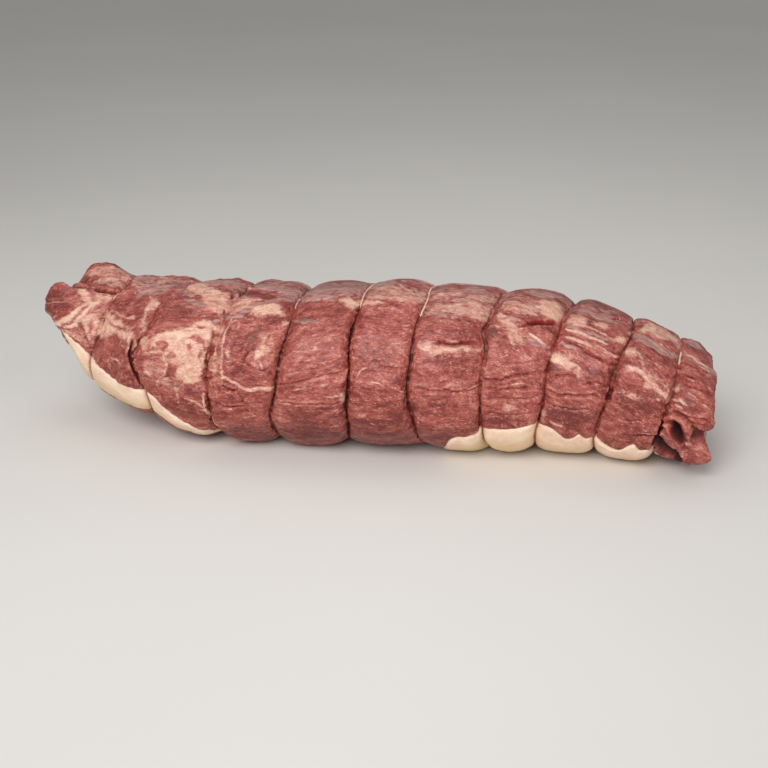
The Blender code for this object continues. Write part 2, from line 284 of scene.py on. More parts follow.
# Each mark lies at a station u and a height h round the section, both in mm, with h 0
# along the front.
marks = {
    # patches of fat: solidity in mm, then the corners of the outline
    "fatPatches": [
        (6, (-225, 31), (-221, 36), (-219, 33), (-215, 31), (-213, 34), (-210, 37), (-208, 41),
         (-205, 40), (-204, 36), (-208, 32), (-211, 25), (-213, 21), (-217, 24), (-222, 27)),
        (6, (-211, 24), (-208, 22), (-204, 20), (-203.5, 12), (-205, 5), (-207, 2), (-210, 6),
         (-213, 9), (-215, 12), (-213, 18)),
        (0.1, (-226, 31), (-216, 30), (-205, 33), (-203.5, 12), (-206, 2), (-213, 5), (-219, 4),
         (-228, 0), (-222, 9), (-218, 20)),
        (0.8, (-238, 60), (-232, 67), (-224, 68), (-218, 78), (-208, 86), (-204, 70), (-204, 50),
         (-211, 47), (-218, 50), (-226, 57)),
        (3.2, (-203, 29), (-196, 31), (-186, 31), (-176, 30.5), (-168, 29), (-161, 27), (-162, 20),
         (-168, 21), (-175, 20), (-182, 20.5), (-187, 17.5), (-193, 14), (-199, 10), (-204, 8)),
        (2.2, (-168, 60), (-160, 61), (-155, 56), (-156, 48), (-158, 42), (-156, 34), (-156, 24),
         (-158, 17), (-161, 14), (-160, 20), (-158, 26), (-159, 34), (-161, 42), (-164, 48),
         (-163, 54)),
        (0.8, (-200, 70), (-192, 74), (-186, 72), (-180, 73), (-178, 82), (-176, 94), (-168, 96),
         (-164, 90), (-170, 82), (-178, 76), (-184, 62), (-190, 62), (-198, 62)),
        (2.6, (-147, 30), (-144, 34), (-136, 37), (-128, 40), (-122, 44), (-118, 48), (-112, 48),
         (-108, 44), (-108, 36), (-110, 28), (-109, 18), (-110, 10), (-112, 4), (-116, 0.5),
         (-122, 0), (-127, 2), (-129, 8), (-131, 13), (-134, 17), (-138, 18), (-145, 17), (-147, 24)),
        (5, (-144, 32), (-136, 36), (-127, 39), (-120, 41), (-117, 36), (-119, 29), (-124, 27),
         (-129, 26), (-130, 22), (-126, 20), (-125, 14), (-130, 13), (-134, 22), (-134, 28),
         (-142, 29)),
        (1.7, (-150, 94), (-148, 82), (-138, 76), (-130, 70), (-124, 62), (-116, 56), (-109, 51),
         (-108, 62), (-110, 72), (-113, 78), (-122, 80), (-130, 84), (-138, 92)),
        (1.2, (-109, 73), (-98, 72), (-92, 68), (-94, 62), (-100, 57), (-106, 53), (-110, 60)),
        (2.4, (-101, 30), (-98, 32), (-95, 27), (-92, 22), (-94, 19.5), (-97, 22)),
        (3, (-78, 40), (-74, 42), (-72, 47), (-70.5, 40), (-74, 34), (-70, 31), (-67, 28),
         (-72, 27), (-76, 23), (-79, 21), (-80, 28), (-77, 33)),
        (3, (-92, 57), (-90, 63), (-86, 67.5), (-80, 70), (-75, 69), (-70, 64), (-67, 57.5),
         (-74, 57), (-82, 56.5)),
        (3, (-32, 73), (-31, 68), (-25, 65), (-17, 60), (-15, 64), (-15, 70), (-24, 74)),
        (2, (-13, 62), (-4, 64), (4, 65), (5, 69), (-2, 71), (-13, 70)),
        (4, (-20, 1), (-16, 0), (-13.5, -8), (-17, -9)),
        (1.1, (-12, 71), (6, 72), (20, 71), (33, 72), (33, 78), (18, 79), (0, 76), (-12, 76)),
        (0.7, (-12, 79), (6, 80), (22, 80), (33, 81), (33, 87), (14, 88), (-4, 86)),
        (1.2, (37, 40), (44, 40), (50, 38), (56, 35), (56, 30), (50, 28), (46, 31), (38, 33)),
        (4, (53, 35), (60, 35.5), (66, 34.5), (72, 37), (77, 35.5), (84, 33.5), (78, 31.5),
         (70, 32), (66, 30), (60, 31), (55, 31)),
        (0.9, (36, 57), (46, 66), (60, 62), (74, 56), (82, 54), (82, 70), (70, 74), (52, 72),
         (40, 70)),
        (1.4, (38, 80), (50, 82), (58, 84), (60, 94), (56, 90), (46, 87), (39, 86)),
        (1.0, (62, 78), (74, 76), (82, 74), (82, 84), (70, 88), (62, 86)),
        (1.2, (84, 59), (92, 52), (96, 44), (99, 37), (107, 40), (100, 47), (95, 57), (88, 64)),
        (1.0, (88, 66), (100, 62), (108, 62), (106, 70), (96, 76), (88, 78)),
        (2.2, (108, 82), (116, 82), (120, 70), (120, 58), (112, 61), (106, 70)),
        (5, (118.5, 33), (123, 35.5), (129, 34), (131, 38), (133.5, 35), (132, 31.5), (138, 29.5),
         (142, 24), (141.5, 20), (139, 20.5), (137, 26), (132, 24.5), (127, 26), (122, 27),
         (119.5, 30)),
        (1.3, (123, 58), (134, 58), (136, 66), (130, 71), (123, 70)),
        (1.6, (138, 63), (143, 69), (149, 67), (148, 62), (142, 61)),
        (2.2, (149, 52), (157, 56.5), (163, 56), (161, 49), (155, 49)),
        (3.4, (162, 45), (166, 48), (172, 47.5), (176, 44), (179.5, 38.5), (177, 37), (174, 41),
         (168, 41.5), (162, 41)),
        (2.2, (166, 35), (174, 36), (180, 34), (186, 29.5), (193, 27.5), (200, 23), (202, 14),
         (200, 12.5), (196, 18), (190, 20), (185, 20), (182, 26), (174, 29.5), (168, 31)),
        (1.8, (168, 68), (176, 66), (184, 65), (190, 66), (198, 66), (199, 84), (186, 92),
         (172, 90)),
        (1.4, (188, 68), (194, 64), (199, 56), (200, 64), (197, 74), (191, 78)),
        (1, (98, -5), (105, -3), (108, -6), (102, -9), (97, -9)),
        (2, (123, -7), (126, -6.5), (127, -9), (124, -12), (122.5, -11))],
    # small blobs: u, h, half length, half height, turn in degrees, solidity
    "fatBlobs": [
        (-225, 53.5, 4, 1.7, 0, 3), (-231, 63, 4, 3, 0, 1.6), (-219, 69, 2.5, 4, 0, 2),
        (-212, 58, 4, 4, 0, 1.2), (-212, 34.5, 2.3, 2.8, 0, 3), (-207.5, 37.5, 2.2, 3, 0, 3),
        (-171, 37, 4, 1.3, 15, 4), (-174, 84, 5, 7, 0, 1.8), (-163, 17, 1.2, 2.6, 0, 3),
        (-142, 8, 8, 8, 0, 0.3), (-132, -3, 9, 5, 0, 0.2), (-152, 24, 4, 5, 0, 1),
        (-106, 41, 3, 4.5, 0, 2.6), (-105, 30, 3, 6, 0, 1), (-96, 8.5, 2.8, 1.9, -20, 6),
        (-65.5, 50, 1.8, 3, 0, 4), (-97, 46, 3, 4, 0, 0.8), (-104, 17, 3, 10, 0, 0.6),
        (-40, 32, 2.2, 2.4, 0, 3), (-196, 22, 5, 6, 30, 3.6), (-30, 38, 1.2, 1, 0, 2),
        (-30, 6, 2.2, 1.3, 20, 2.5),
        (-2, -16.5, 3, 1.6, 20, 1.2), (62, 8.5, 3, 1.1, 0, 2), (45, 10, 3, 1.2, 0, 1),
        (163, 61, 2, 2, 0, 2), (186, 59, 2.2, 1, -10, 3), (177, 14, 4.5, 2.6, 0, 1.2),
        (194, 16, 2.2, 1.4, -20, 2), (204.5, 22.5, 2, 3.8, -10, 6),
        (223, 40.5, 2.4, 1.6, 0, 3), (217, -13, 1.3, 1.8, 0, 1.6), (221, -16, 2, 1, 20, 1.6),
        (215, -20, 1, 1.6, 0, 1.2), (178, 76, 4, 8, 0, 4)],
    # streaks: half width, solidity, then the points they run through
    "fatStreaks": [
        (1.6, 4, (-216, 25), (-218, 17), (-221, 10), (-228, 2), (-237, -5)),
        (1.5, 4, (-213, 25), (-214, 17), (-217, 8), (-225, 1)),
        (1.8, 0.9, (-229, -3), (-220, -0.5), (-212, 2), (-206, 0)),
        (0.45, 1.8, (-238, 9), (-231, 15), (-224, 21)), (0.6, 1.5, (-238, -1), (-232, 3), (-228, 8)),
        (1, 0.6, (-201, 31), (-192, 34), (-184, 34), (-176, 35), (-169, 37)),
        (0.8, 2, (-184, 4), (-175, 4.5), (-167, 3)), (0.6, 1, (-176, 16), (-168, 17)),
        (1, 5, (-146.5, 28), (-145, 19), (-138, 20), (-134.5, 13), (-134.5, 5)),
        (1, 0.7, (-128, 2), (-127, -6), (-126, -13)), (0.8, 1, (-134, 5), (-138, 1), (-141, -6)),
        (0.8, 1.5, (-148, 5), (-142, 1)), (1, 1, (-121, -11), (-115, -12.5), (-110, -17)),
        (0.7, 1.5, (-138, 58), (-133, 59)), (0.8, 1.2, (-150, 18), (-146, 17)),
        (1.0, 1.4, (-101, 51), (-101, 40), (-101, 30), (-99, 18), (-97, 10), (-91, 6), (-85, 4),
         (-81, 2.3)),
        (1.7, 2.4, (-86, 3.5), (-78, 1.8), (-71, 3), (-63, 2)),
        (1.6, 1.6, (-99, 71), (-90, 72), (-84, 75), (-77, 78)),
        (1.5, 1.6, (-107, 97), (-102, 90), (-95, 85)),
        (1, 3, (-110, -5), (-109, -18), (-106, -28), (-101, -34)), (0.8, 1, (-84, -29), (-81, -35)),
        (0.6, 1.4, (-76, 22), (-72, 17)), (0.5, 1.6, (-82, 14), (-76, 12)),
        (0.6, 2, (-54, 29.5), (-42, 29)), (0.7, 2, (-30, -2), (-19, -2)), (0.4, 2, (-46, 37),
                                                                           (-36, 41)),
        (0.4, 1.4, (-58, 14), (-48, 16)), (0.4, 1.4, (-52, 2), (-42, 4)), (0.4, 1.5, (-26, 24),
                                                                           (-20, 29)),
        (0.9, 4, (-7, 12), (-4, 17), (1, 19)), (0.7, 3, (2, 10), (9, 9.5), (15, 7)),
        (0.5, 2, (22, 6), (31, 1.5)), (0.7, 3, (23, 50), (29, 50)), (0.5, 1.6, (-6, 48), (4, 45)),
        (0.4, 1.4, (5, 34), (12, 29)), (0.4, 1.4, (16, 24), (24, 22)), (0.5, 1.5, (20, 36), (30, 38)),
        (0.9, 2.5, (11, 97), (12, 90), (15, 87)), (0.5, 1.2, (70, 5), (76, 7), (83, 9)),
        (0.6, 1.4, (44, 2), (52, 3)), (0.8, 3, (58, 38.5), (68, 39.5)),
        (1.3, 5, (106, 47), (110, 44.5), (115, 40)), (0.9, 2.4, (102, 11), (110, 12)),
        (0.6, 2, (86, 52), (92, 50)), (0.5, 1, (94, 28), (98, 31)), (0.9, 1.2, (90, 56), (102, 50)),
        (1.6, 2.6, (124, 54), (134, 52), (142, 49), (152, 47)), (1.2, 5, (138, 49.5), (149, 47)),
        (1.6, 1.8, (126, 47), (138, 45), (150, 42), (161, 38)),
        (1.2, 1.6, (125, 61), (140, 58), (150, 55)), (1, 2, (130, -13), (139, -17)),
        (1.2, 4, (167, 33.5), (176, 32), (184, 27), (190, 22)),
        (0.7, 6, (211, 22.5), (214, 21.5), (217, 19)), (0.6, 3, (220, 17), (225, 13.5)),
        (0.8, 6, (205, 54.5), (209, 55.5)), (0.9, 6, (214, 48), (219, 47), (225, 46)),
        (0.6, 4, (220, 52), (227, 60)), (0.8, 2.4, (204, 57), (214, 52), (226, 50)),
        (1.3, 1.2, (203.5, 15), (208, 16), (212, 14)), (0.8, 1.0, (205, 12.5), (210, 11.5)),
        (0.8, 3, (199, -23), (201, -30), (203, -46)), (0.6, 1.5, (168, 16), (173, 14)),
        (0.8, 1.5, (185, -14), (190, -10), (194, -9))],
    "redHoles": [(-93, 80, 17, 5, -6, 4), (20, 96, 12, 5, 0, 3), (-139, 24.5, 3, 2.6, 0, 2.6),
                 (-131.5, 17.5, 2, 3, -20, 4), (-130, 8, 1.5, 4, -30, 4),
                 (-116, 32, 2.4, 1.5, -20, 2), (-113, 27, 0.9, 2.6, 0, 2), (-114, 22, 0.8, 2.6, 20, 2),
                 (-117, 41, 2, 1, 0, 1.6), (-120.5, 33, 1.6, 1.2, 0, 1.4),
                 (-121, 26, 0.8, 1.4, 20, 1.6),
                 (-141, 22, 2.4, 0.7, 10, 3), (-104, 26, 1.2, 6, 0, 3), (-97, 46, 1.4, 3, 0, 3),
                 (-73, 39, 1, 2.6, 10, 3), (-180, 26, 7, 0.8, 6, 1.4), (-172, 32, 7, 1.3, 4, 2),
                 (-208, 12, 0.8, 3, 10, 2), (194, 24, 5, 1.4, -32, 3), (186, 32, 3, 0.7, -25, 2),
                 (135, 56, 6, 0.8, -12, 2), (144, 44, 7, 0.7, -18, 2)],
    "silverBlobs": [
        (-130, 90, 78, 20, 0, 0.3), (0, 88, 66, 15, 0, 0.3), (110, 84, 60, 13, 0, 0.1),
        (-182, 76, 24, 17, 0, 1.0),
        (-197, 70, 5, 7, 0, 2), (-128, 96, 20, 9, 0, 2.5), (-88, 92, 14, 5, 0, 2.5),
        (-70, 82, 8, 10, 0, 2.2), (-50, 92, 14, 12, 0, 2.4), (-28, 92, 12, 14, 0, 2),
        (-4, 96, 12, 12, 0, 2.4), (22, 104, 14, 6, 0, 1.5), (66, 98, 8, 8, 0, 1.2),
        (106, 94, 10, 9, 0, 2.4), (104, 68, 6, 6, -20, 1.2), (140, 75, 15, 4, -10, 2.2),
        (212, 79, 10, 8, -15, 3), (-215, 53, 9, 4, 20, 1.4), (95, 49, 5, 2, -40, 1.5),
        (58, 66, 20, 8, 0, 0.9)],
    "silverStreaks": [
        (3.6, 2.2, (-181, 57), (-171, 70), (-159, 85)), (1.4, 2, (-186, 55), (-174, 56)),
        (2.6, 2.6, (-139, 66), (-130, 62), (-121, 59)),
        (2.2, 2.2, (-112, 46), (-104, 51), (-98, 54), (-94, 60), (-90, 66), (-84, 71), (-75, 74)),
        (3, 2, (-62, 74), (-45, 76), (-33, 72)), (1.8, 2, (-62, 52), (-52, 53), (-42, 51)),
        (2, 1.4, (-62, 84), (-40, 80), (-18, 84)), (1.6, 1.6, (-12, 78), (10, 79), (33, 80)),
        (1.4, 1.6, (-12, 88), (10, 90)), (2, 1.4, (36, 63), (50, 60), (60, 66), (80, 62)),
        (1.4, 1.6, (36, 75), (55, 76), (80, 72)), (1.6, 1.4, (86, 60), (100, 56)),
        (2, 1.8, (104, 43), (112, 40), (119, 37)), (1.8, 1.4, (124, 56), (138, 54), (150, 51)),
        (1.4, 1.6, (124, 42), (134, 41)), (4.4, 2.6, (163, 63), (175, 58), (185, 55), (198, 50)),
        (3, 1.4, (204, 56), (214, 51), (226, 45))],
    # tones: u, h, half length, half height, turn, change; partly the meat's own tone, partly
    # painted shade low on the front, underneath and in the thick end's recess, and painted light
    # on the rim and tongue of its fold
    "tones": [
        (-231, 16, 9, 13, -20, -0.3), (-233, 53, 8, 3.5, 0, -0.5), (-223, 42, 9, 2.5, 30, -0.3),
        (-190, 43, 13, 3, 35, -0.55), (-179, 38, 9, 2, 5, -0.5), (-172, 50, 10, 4, 0, -0.25),
        (-180, -1, 16, 8, 0, -0.05), (-150, 45, 5, 12, 0, -0.3), (-134, 52, 15, 7, 0, -0.5),
        (-124, -22, 14, 9, -30, -0.45), (-116, -4, 5, 4, 0, -0.4), (-93, 79, 17, 4.5, -6, -0.8),
        (-84, 40, 4, 10, -30, -0.6), (-78, 14, 12, 8, 0, -0.3), (-100, 20, 2, 10, 0, -0.2),
        (-88, -26, 16, 10, 0, -0.25), (-36, -18, 22, 11, 0, -0.35), (10, -28, 30, 12, 0, -0.35),
        (-52, 53, 11, 2.4, -5, -0.5), (-50, 30, 30, 22, 0, 0.12), (6, 40, 26, 16, 0, 0.12),
        (38, 62, 5, 3, 0, -0.5), (60, 46, 22, 4, 0, -0.1), (60, -28, 20, 10, 0, -0.3),
        (85, 46, 5, 5, -20, -0.6), (100, 28, 18, 6, 5, 0.05), (145, -4, 18, 12, 0, -0.3),
        (145, 20, 16, 6, 0, -0.1), (190, -16, 16, 10, 0, -0.3), (182, 44, 14, 8, -15, -0.15),
        (212, 66, 12, 6, 12, -0.45), (212, 32, 8, 4, 0, -0.35), (216, 26, 12, 3, -15, -0.25),
        (207, -7, 5, 7, 45, 0.3), (210, 4, 8, 3, -20, 0.25), (222, -16, 6, 11, 0, 0.25),
        (-45, 98, 34, 11, 0, -0.5), (-95, 99, 16, 8, 0, -0.25), (100, 2, 18, 5, 0, -0.15),
        (180, 2, 16, 8, 0, -0.3), (140, -8, 20, 8, 0, -0.35), (100, -14, 18, 7, 0, -0.3),
        (150, 24, 24, 20, 0, -0.14), (58, 22, 24, 20, 0, 0.12), (-231, 14, 10, 10, 0, -0.2),
        (207, -28, 8, 9, 0, -0.6), (-85, -42, 19, 14, 0, -0.45), (-40, -42, 24, 14, 0, -0.55),
        (10, -44, 26, 14, 0, -0.55),
        (55, -44, 20, 14, 0, -0.45), (20, 95, 16, 8, 0, 0.1), (50, 98, 14, 7, 0, 0.05),
        (150, 92, 12, 8, 0, -0.25)],
    "dry": [(129, 97, 13, 6, 0, 0.5), (-45, 98, 34, 10, 0, -0.15), (-205, 78, 3, 6, 0, 1.5),
            (-228, 31.5, 6, 1.8, 0, 2),
            (-213, 40, 5, 2, 30, 1.5), (-83, 38, 3, 8, -30, 0), (-135, 65.5, 4, 1.6, 20, 1),
            (85, 47, 3, 4.5, -30, 0), (-108, 82, 4, 3, -20, 0.6), (-52, 53, 8, 1, -5, 0.3)],
    "gashes": [(113, 57, 7, 3.2, 8, 3), (105.5, 54.5, 5, 1.7, 10, 2.5), (154, 80, 6, 2.5, 15, 2.5),
               (68, 38, 9, 0.9, 0, 2), (-137.5, -4, 1, 2.2, 0, 2), (162, 12, 2, 4, 0, 1.2)],
    # seams: half width, depth, points
    "seams": [
        (1.1, 3.4, (-163, 25), (-161.5, 20), (-161, 13), (-158.5, 6), (-156, -1), (-153, -9)),
        (1.2, 1.2, (-188, 4), (-185.5, 1.5), (-181, -3)),
        (1.6, 3.4, (-239, 31), (-232, 32), (-226, 31.5), (-222, 37), (-218, 39), (-214, 38.5),
         (-208, 42.5),
         (-203, 44)),
        (0.5, 0.7, (-200, 36), (-188, 43), (-180, 47)), (0.7, 1.6, (-213, 9), (-210, 5), (-206, -1)),
        (0.5, 0.8, (-176, 58), (-168, 58), (-162, 60)),
        (0.5, 0.8, (-84.5, 45), (-87, 39), (-88, 33)), (0.8, 2.2, (-84, 28.5), (-84.7, 20)),
        (0.7, 2.4, (-97, 2.5), (-92, 0.5), (-88, -1)), (0.7, 1.6, (-87, -2), (-84, -5), (-83, -10)),
        (0.7, 1.8, (-100, -11), (-95, -13.5), (-90, -13), (-82, -11.5)), (0.4, 0.7, (-80, -13),
                                                                          (-74, -21)),
        (0.9, 1.0, (-62, 72), (-48, 72.5), (-34, 69), (-24, 64), (-14, 58)),
        (0.6, 1.2, (-103, 36), (-104, 28), (-104, 20)), (0.5, 1.4, (-109.5, 24), (-109, 15)),
        (0.6, 1.2, (-109, 8.5), (-104, 11.5)), (0.6, 1.2, (-109, 5), (-105, 7)),
        (0.5, 1.0, (-88, 52), (-86, 56), (-80, 56.5), (-68, 55)), (0.7, 1.4, (-112, 84),
                                                                   (-109, 76), (-108, 70)),
        (0.5, 1.0, (-85, 35), (-85, 26), (-81.7, 18), (-75.6, 15.5), (-67.6, 16.6)),
        (0.4, 0.7, (-78.7, 44), (-73.4, 38.6), (-72, 29.5), (-75.6, 24)),
        (0.4, 0.7, (-64.7, 12.1), (-47.2, 16.5), (-32.6, 19.3), (-16.6, 24.4)),
        (0.4, 0.5, (-66.3, 47), (-54.6, 50.5), (-37.7, 48.6), (-22.6, 51)),
        (0.6, 1.0, (-62, 5), (-50, 8), (-36, 12), (-15, 16)), (0.6, 1.1, (-58, -8), (-40, -9),
                                                               (-18, -8)),
        (0.4, 0.6, (-60, 20), (-45, 22), (-30, 20)), (0.4, 0.5, (-60, -1), (-40, 0), (-28, -1)),
        (0.6, 1.0, (-12, 60), (0, 62), (16, 61), (33, 62)), (0.4, 0.6, (-10, 47), (5, 48), (20, 46)),
        (0.4, 0.6, (-6, 6), (4, 4), (12, 0)), (0.4, 0.6, (10, 20), (20, 20), (33, 19)),
        (0.9, 1.7, (52, 39), (60, 37.5), (70, 38.5), (80, 38)), (0.7, 1.2, (35, 18), (40, 15),
                                                                 (44, 14)),
        (0.7, 1, (36, 6), (50, 5), (70, 5), (84, 6.5)), (0.4, 0.6, (38, 56), (50, 54), (62, 52),
                                                         (78, 50)),
        (0.6, 0.9, (84, 50), (92, 51), (100, 45)), (0.6, 0.9, (36, 80), (50, 78), (66, 72)),
        (0.7, 1.3, (85, 13), (95, 13.5), (104, 17), (120, 21)), (0.7, 1.2, (84, 7), (98, 7),
                                                                 (110, 9), (120, 9)),
        (0.5, 0.9, (88, 0.5), (100, 1), (112, 1), (121, 5)), (0.5, 0.8, (88, -10), (104, -11),
                                                              (118, -8)),
        (0.4, 0.7, (92, 24), (106, 26), (118, 30)), (1.2, 2.6, (103, 54.5), (110, 56.5), (118, 57.5)),
        (0.8, 1.6, (99, 51), (104, 53)), (0.5, 1, (112, 53), (113, 48)),
        (0.8, 1.4, (123, 9), (132, 6.5), (142, 8), (152, 11), (161, 8)), (0.6, 1.1, (122, 18),
                                                                          (132, 21), (140, 22)),
        (0.8, 1.7, (124, 43), (133, 43), (142, 38), (152, 35), (161, 31)), (0.5, 1, (124, 0),
                                                                            (140, -2), (155, 0)),
        (1.2, 2.2, (149, 78), (155, 82), (160, 80)), (0.6, 1, (144, 17), (152, 19), (160, 16)),
        (0.9, 2, (163, 16), (162, 10), (164, 6)), (0.5, 0.8, (166, 24), (172, 21), (182, 21)),
        (1.0, 1.6, (184, -15), (190, -12), (197, -11), (200, -11)), (0.4, 0.7, (168, -1),
                                                                     (178, -4), (190, 0)),
        (0.5, 0.9, (178, 40), (190, 36), (199, 30)), (1.1, 2.2, (207, 35.5), (210, 35), (214, 35)),
        (0.6, 1.2, (206, 27), (216, 27), (224, 24)), (0.5, 0.9, (213, 6.5), (221, 6.5), (229, 5)),
        (1.4, 4, (201, 1), (200, -6), (199, -16), (199, -28)),
        (0.8, 1.6, (202.5, 5.5), (206.5, 8), (211, 7), (214.8, 3.5), (217.6, -2), (218.5, -8)),
        (0.6, 0.8, (-200, 124), (-170, 132), (-130, 129), (-92, 134)),
        (0.6, 0.8, (-150, 160), (-100, 166), (-40, 161), (10, 168)),
        (0.5, 0.5, (-70, 124), (-30, 132), (20, 126), (60, 134)), (0.5, 0.6, (30, 148), (80, 155),
                                                                   (130, 150)),
        (0.5, 0.6, (100, 122), (140, 130), (190, 126)), (0.6, 0.8, (120, 170), (160, 176), (210, 170)),
        (0.6, 0.8, (-210, 172), (-180, 180), (-140, 176))],
    # raised folds and sunk pits of the loose thick end: half width, height, points; then
    # depth, painted shadow, outline; the last two only paint shadow, with no depth
    "folds": [(1.9, 5.6, (202, 0), (203.5, 3.5), (207, 5.3), (210.5, 4), (213.5, 0.5), (215.5, -4.5),
               (216.5, -11)),
              (1.6, 4.6, (202.5, -0.5), (206, -3), (210, -8), (213.5, -14), (216, -21),
               (217, -30)),
              (4.0, 3.4, (202.5, -5), (206, -9), (209.5, -13), (212.5, -18)),
              (1.6, 1.6, (184, -12), (190, -8.5), (198, -8))],
    "pits": [(6.5, 1.0, (200, -9), (203.5, -13), (207.5, -16), (211.5, -20.5), (214.5, -27),
              (216.5, -38), (211, -40), (206, -34), (202, -26), (199, -18)),
             (8, 1.0, (206.5, 2.2), (209.5, 1.5), (212, -1.5), (214, -6), (215, -10.5), (212.5, -9.5),
              (209.5, -5), (206.5, -1)),
             (2.8, 0.7, (217, 0), (221, -1.5), (232, -1.5), (232, -8), (224, -9.5), (218, -10.5)),
             (0, 1.0, (199, -13), (205, -18), (211, -25), (216, -35), (217, -45), (213, -43),
              (209, -37), (205, -31), (201, -25), (198, -19)),
             (0, 0.95, (205.5, 1.2), (209.5, 1.6), (212.5, -1.5), (214.6, -6), (215.6, -12),
              (213, -11.5), (210, -8.5), (207, -4.5))],
}


fields = {                  # how the marks become depths in mm
    "outside": -20.0,       # far outside every mark
    "blobSlope": 1.8, "streakSlope": 4, "streakSolid": 1.25,
    "streakEnd": 0.45,      # share of a streak's width left at its ends
    "near": 8,              # how far past its corners a patch is worked out, mm
}


def fromMiddle(u, h, mark):
    # distance from the middle of a turned ellipse, 1 on its outline; a mark gives its u and
    # h, half length, half height and turn in degrees
    cu, ch, ru, rh, turn = mark
    ca, sa = math.cos(math.radians(turn)), math.sin(math.radians(turn))
    a, b = (u - cu) * ca + (h - ch) * sa, (h - ch) * ca - (u - cu) * sa
    return np.hypot(a / ru, b / rh)


def blobField(u, h, blobs):
    # depth inside the nearest ellipse, capped at each one's solidity; negative outside
    field = np.full(u.shape, fields["outside"])
    for *mark, solid in blobs:
        inside = (1 - fromMiddle(u, h, mark)) * min(mark[2:4]) * fields["blobSlope"]
        field = np.maximum(field, np.minimum(inside, solid))
    return field


def toneField(u, h, tones):
    # changes of tone added up over soft ellipses
    return sum(change * (1 - smooth(fromMiddle(u, h, mark), 0.6, 1.15))
               for *mark, change in tones)


def patchDepth(u, h, corners):
    # depth in mm inside an outline: the distance to its nearest side, negative outside;
    # a point is inside when a level line from it crosses the outline an odd number of times
    away, odd = toLine(u, h, corners + corners[:1])[0], np.zeros(u.shape, bool)
    for (u0, h0), (u1, h1) in zip(corners, corners[1:] + corners[:1]):
        if h0 != h1:
            odd ^= ((h0 > h) != (h1 > h)) & (u < (u1 - u0) * (h - h0) / (h1 - h0) + u0)
    return np.where(odd, away, -away)


def patchField(u, h, patches):
    # depth inside the nearest patch, capped at its solidity
    field = np.full(u.shape, fields["outside"])
    for solid, *corners in patches:
        (uLow, hLow), (uHigh, hHigh) = np.min(corners, 0), np.max(corners, 0)
        close = ((u > uLow - fields["near"]) & (u < uHigh + fields["near"])
                 & (h > hLow - fields["near"]) & (h < hHigh + fields["near"]))
        inside = np.minimum(patchDepth(u[close], h[close], corners), solid)
        field[close] = np.maximum(field[close], inside)
    return field


def toLine(u, h, points):
    # distance to a run of straight pieces, and how far along it the nearest point lies, 0 to 1
    best = np.full(u.shape, 1e9)
    along = np.zeros(u.shape)
    count = len(points) - 1
    for i in range(count):
        (u0, h0), (u1, h1) = points[i], points[i + 1]
        du, dh = u1 - u0, h1 - h0
        t = np.clip(((u - u0) * du + (h - h0) * dh) / (du * du + dh * dh), 0, 1)
        d = np.hypot(u - u0 - t * du, h - h0 - t * dh)
        along = np.where(d < best, (i + t) / count, along)
        best = np.minimum(best, d)
    return best, along


def streakField(u, h, streaks):
    # a multiple of the depth inside the nearest streak, which narrows to both its ends
    field = np.full(u.shape, fields["outside"])
    for width, solid, *points in streaks:
        d, t = toLine(u, h, points)
        swell = np.sqrt(np.clip(4 * t * (1 - t), 0, 1))
        taper = fields["streakEnd"] + (1 - fields["streakEnd"]) * swell
        inside = fields["streakSlope"] * (width * taper - d)
        field = np.maximum(field, np.minimum(inside, fields["streakSolid"] * solid))
    return field


def seamDepth(u, h, seams):
    # a rounded V along each seam: full depth on its line, none past twice its half width;
    # and the lips that stand up on both its sides
    depth, lips = np.zeros(u.shape), np.zeros(u.shape)
    for width, deep, *points in seams:
        d, t = toLine(u, h, points)
        taper = np.clip(4 * t * (1 - t), 0, 1) ** 0.35
        depth = np.maximum(depth, deep * taper * np.exp(-(d / width) ** 2))
        lips = np.maximum(lips, deep * taper * bell(d, 1.2 + width, 0.9))
    return depth, lips


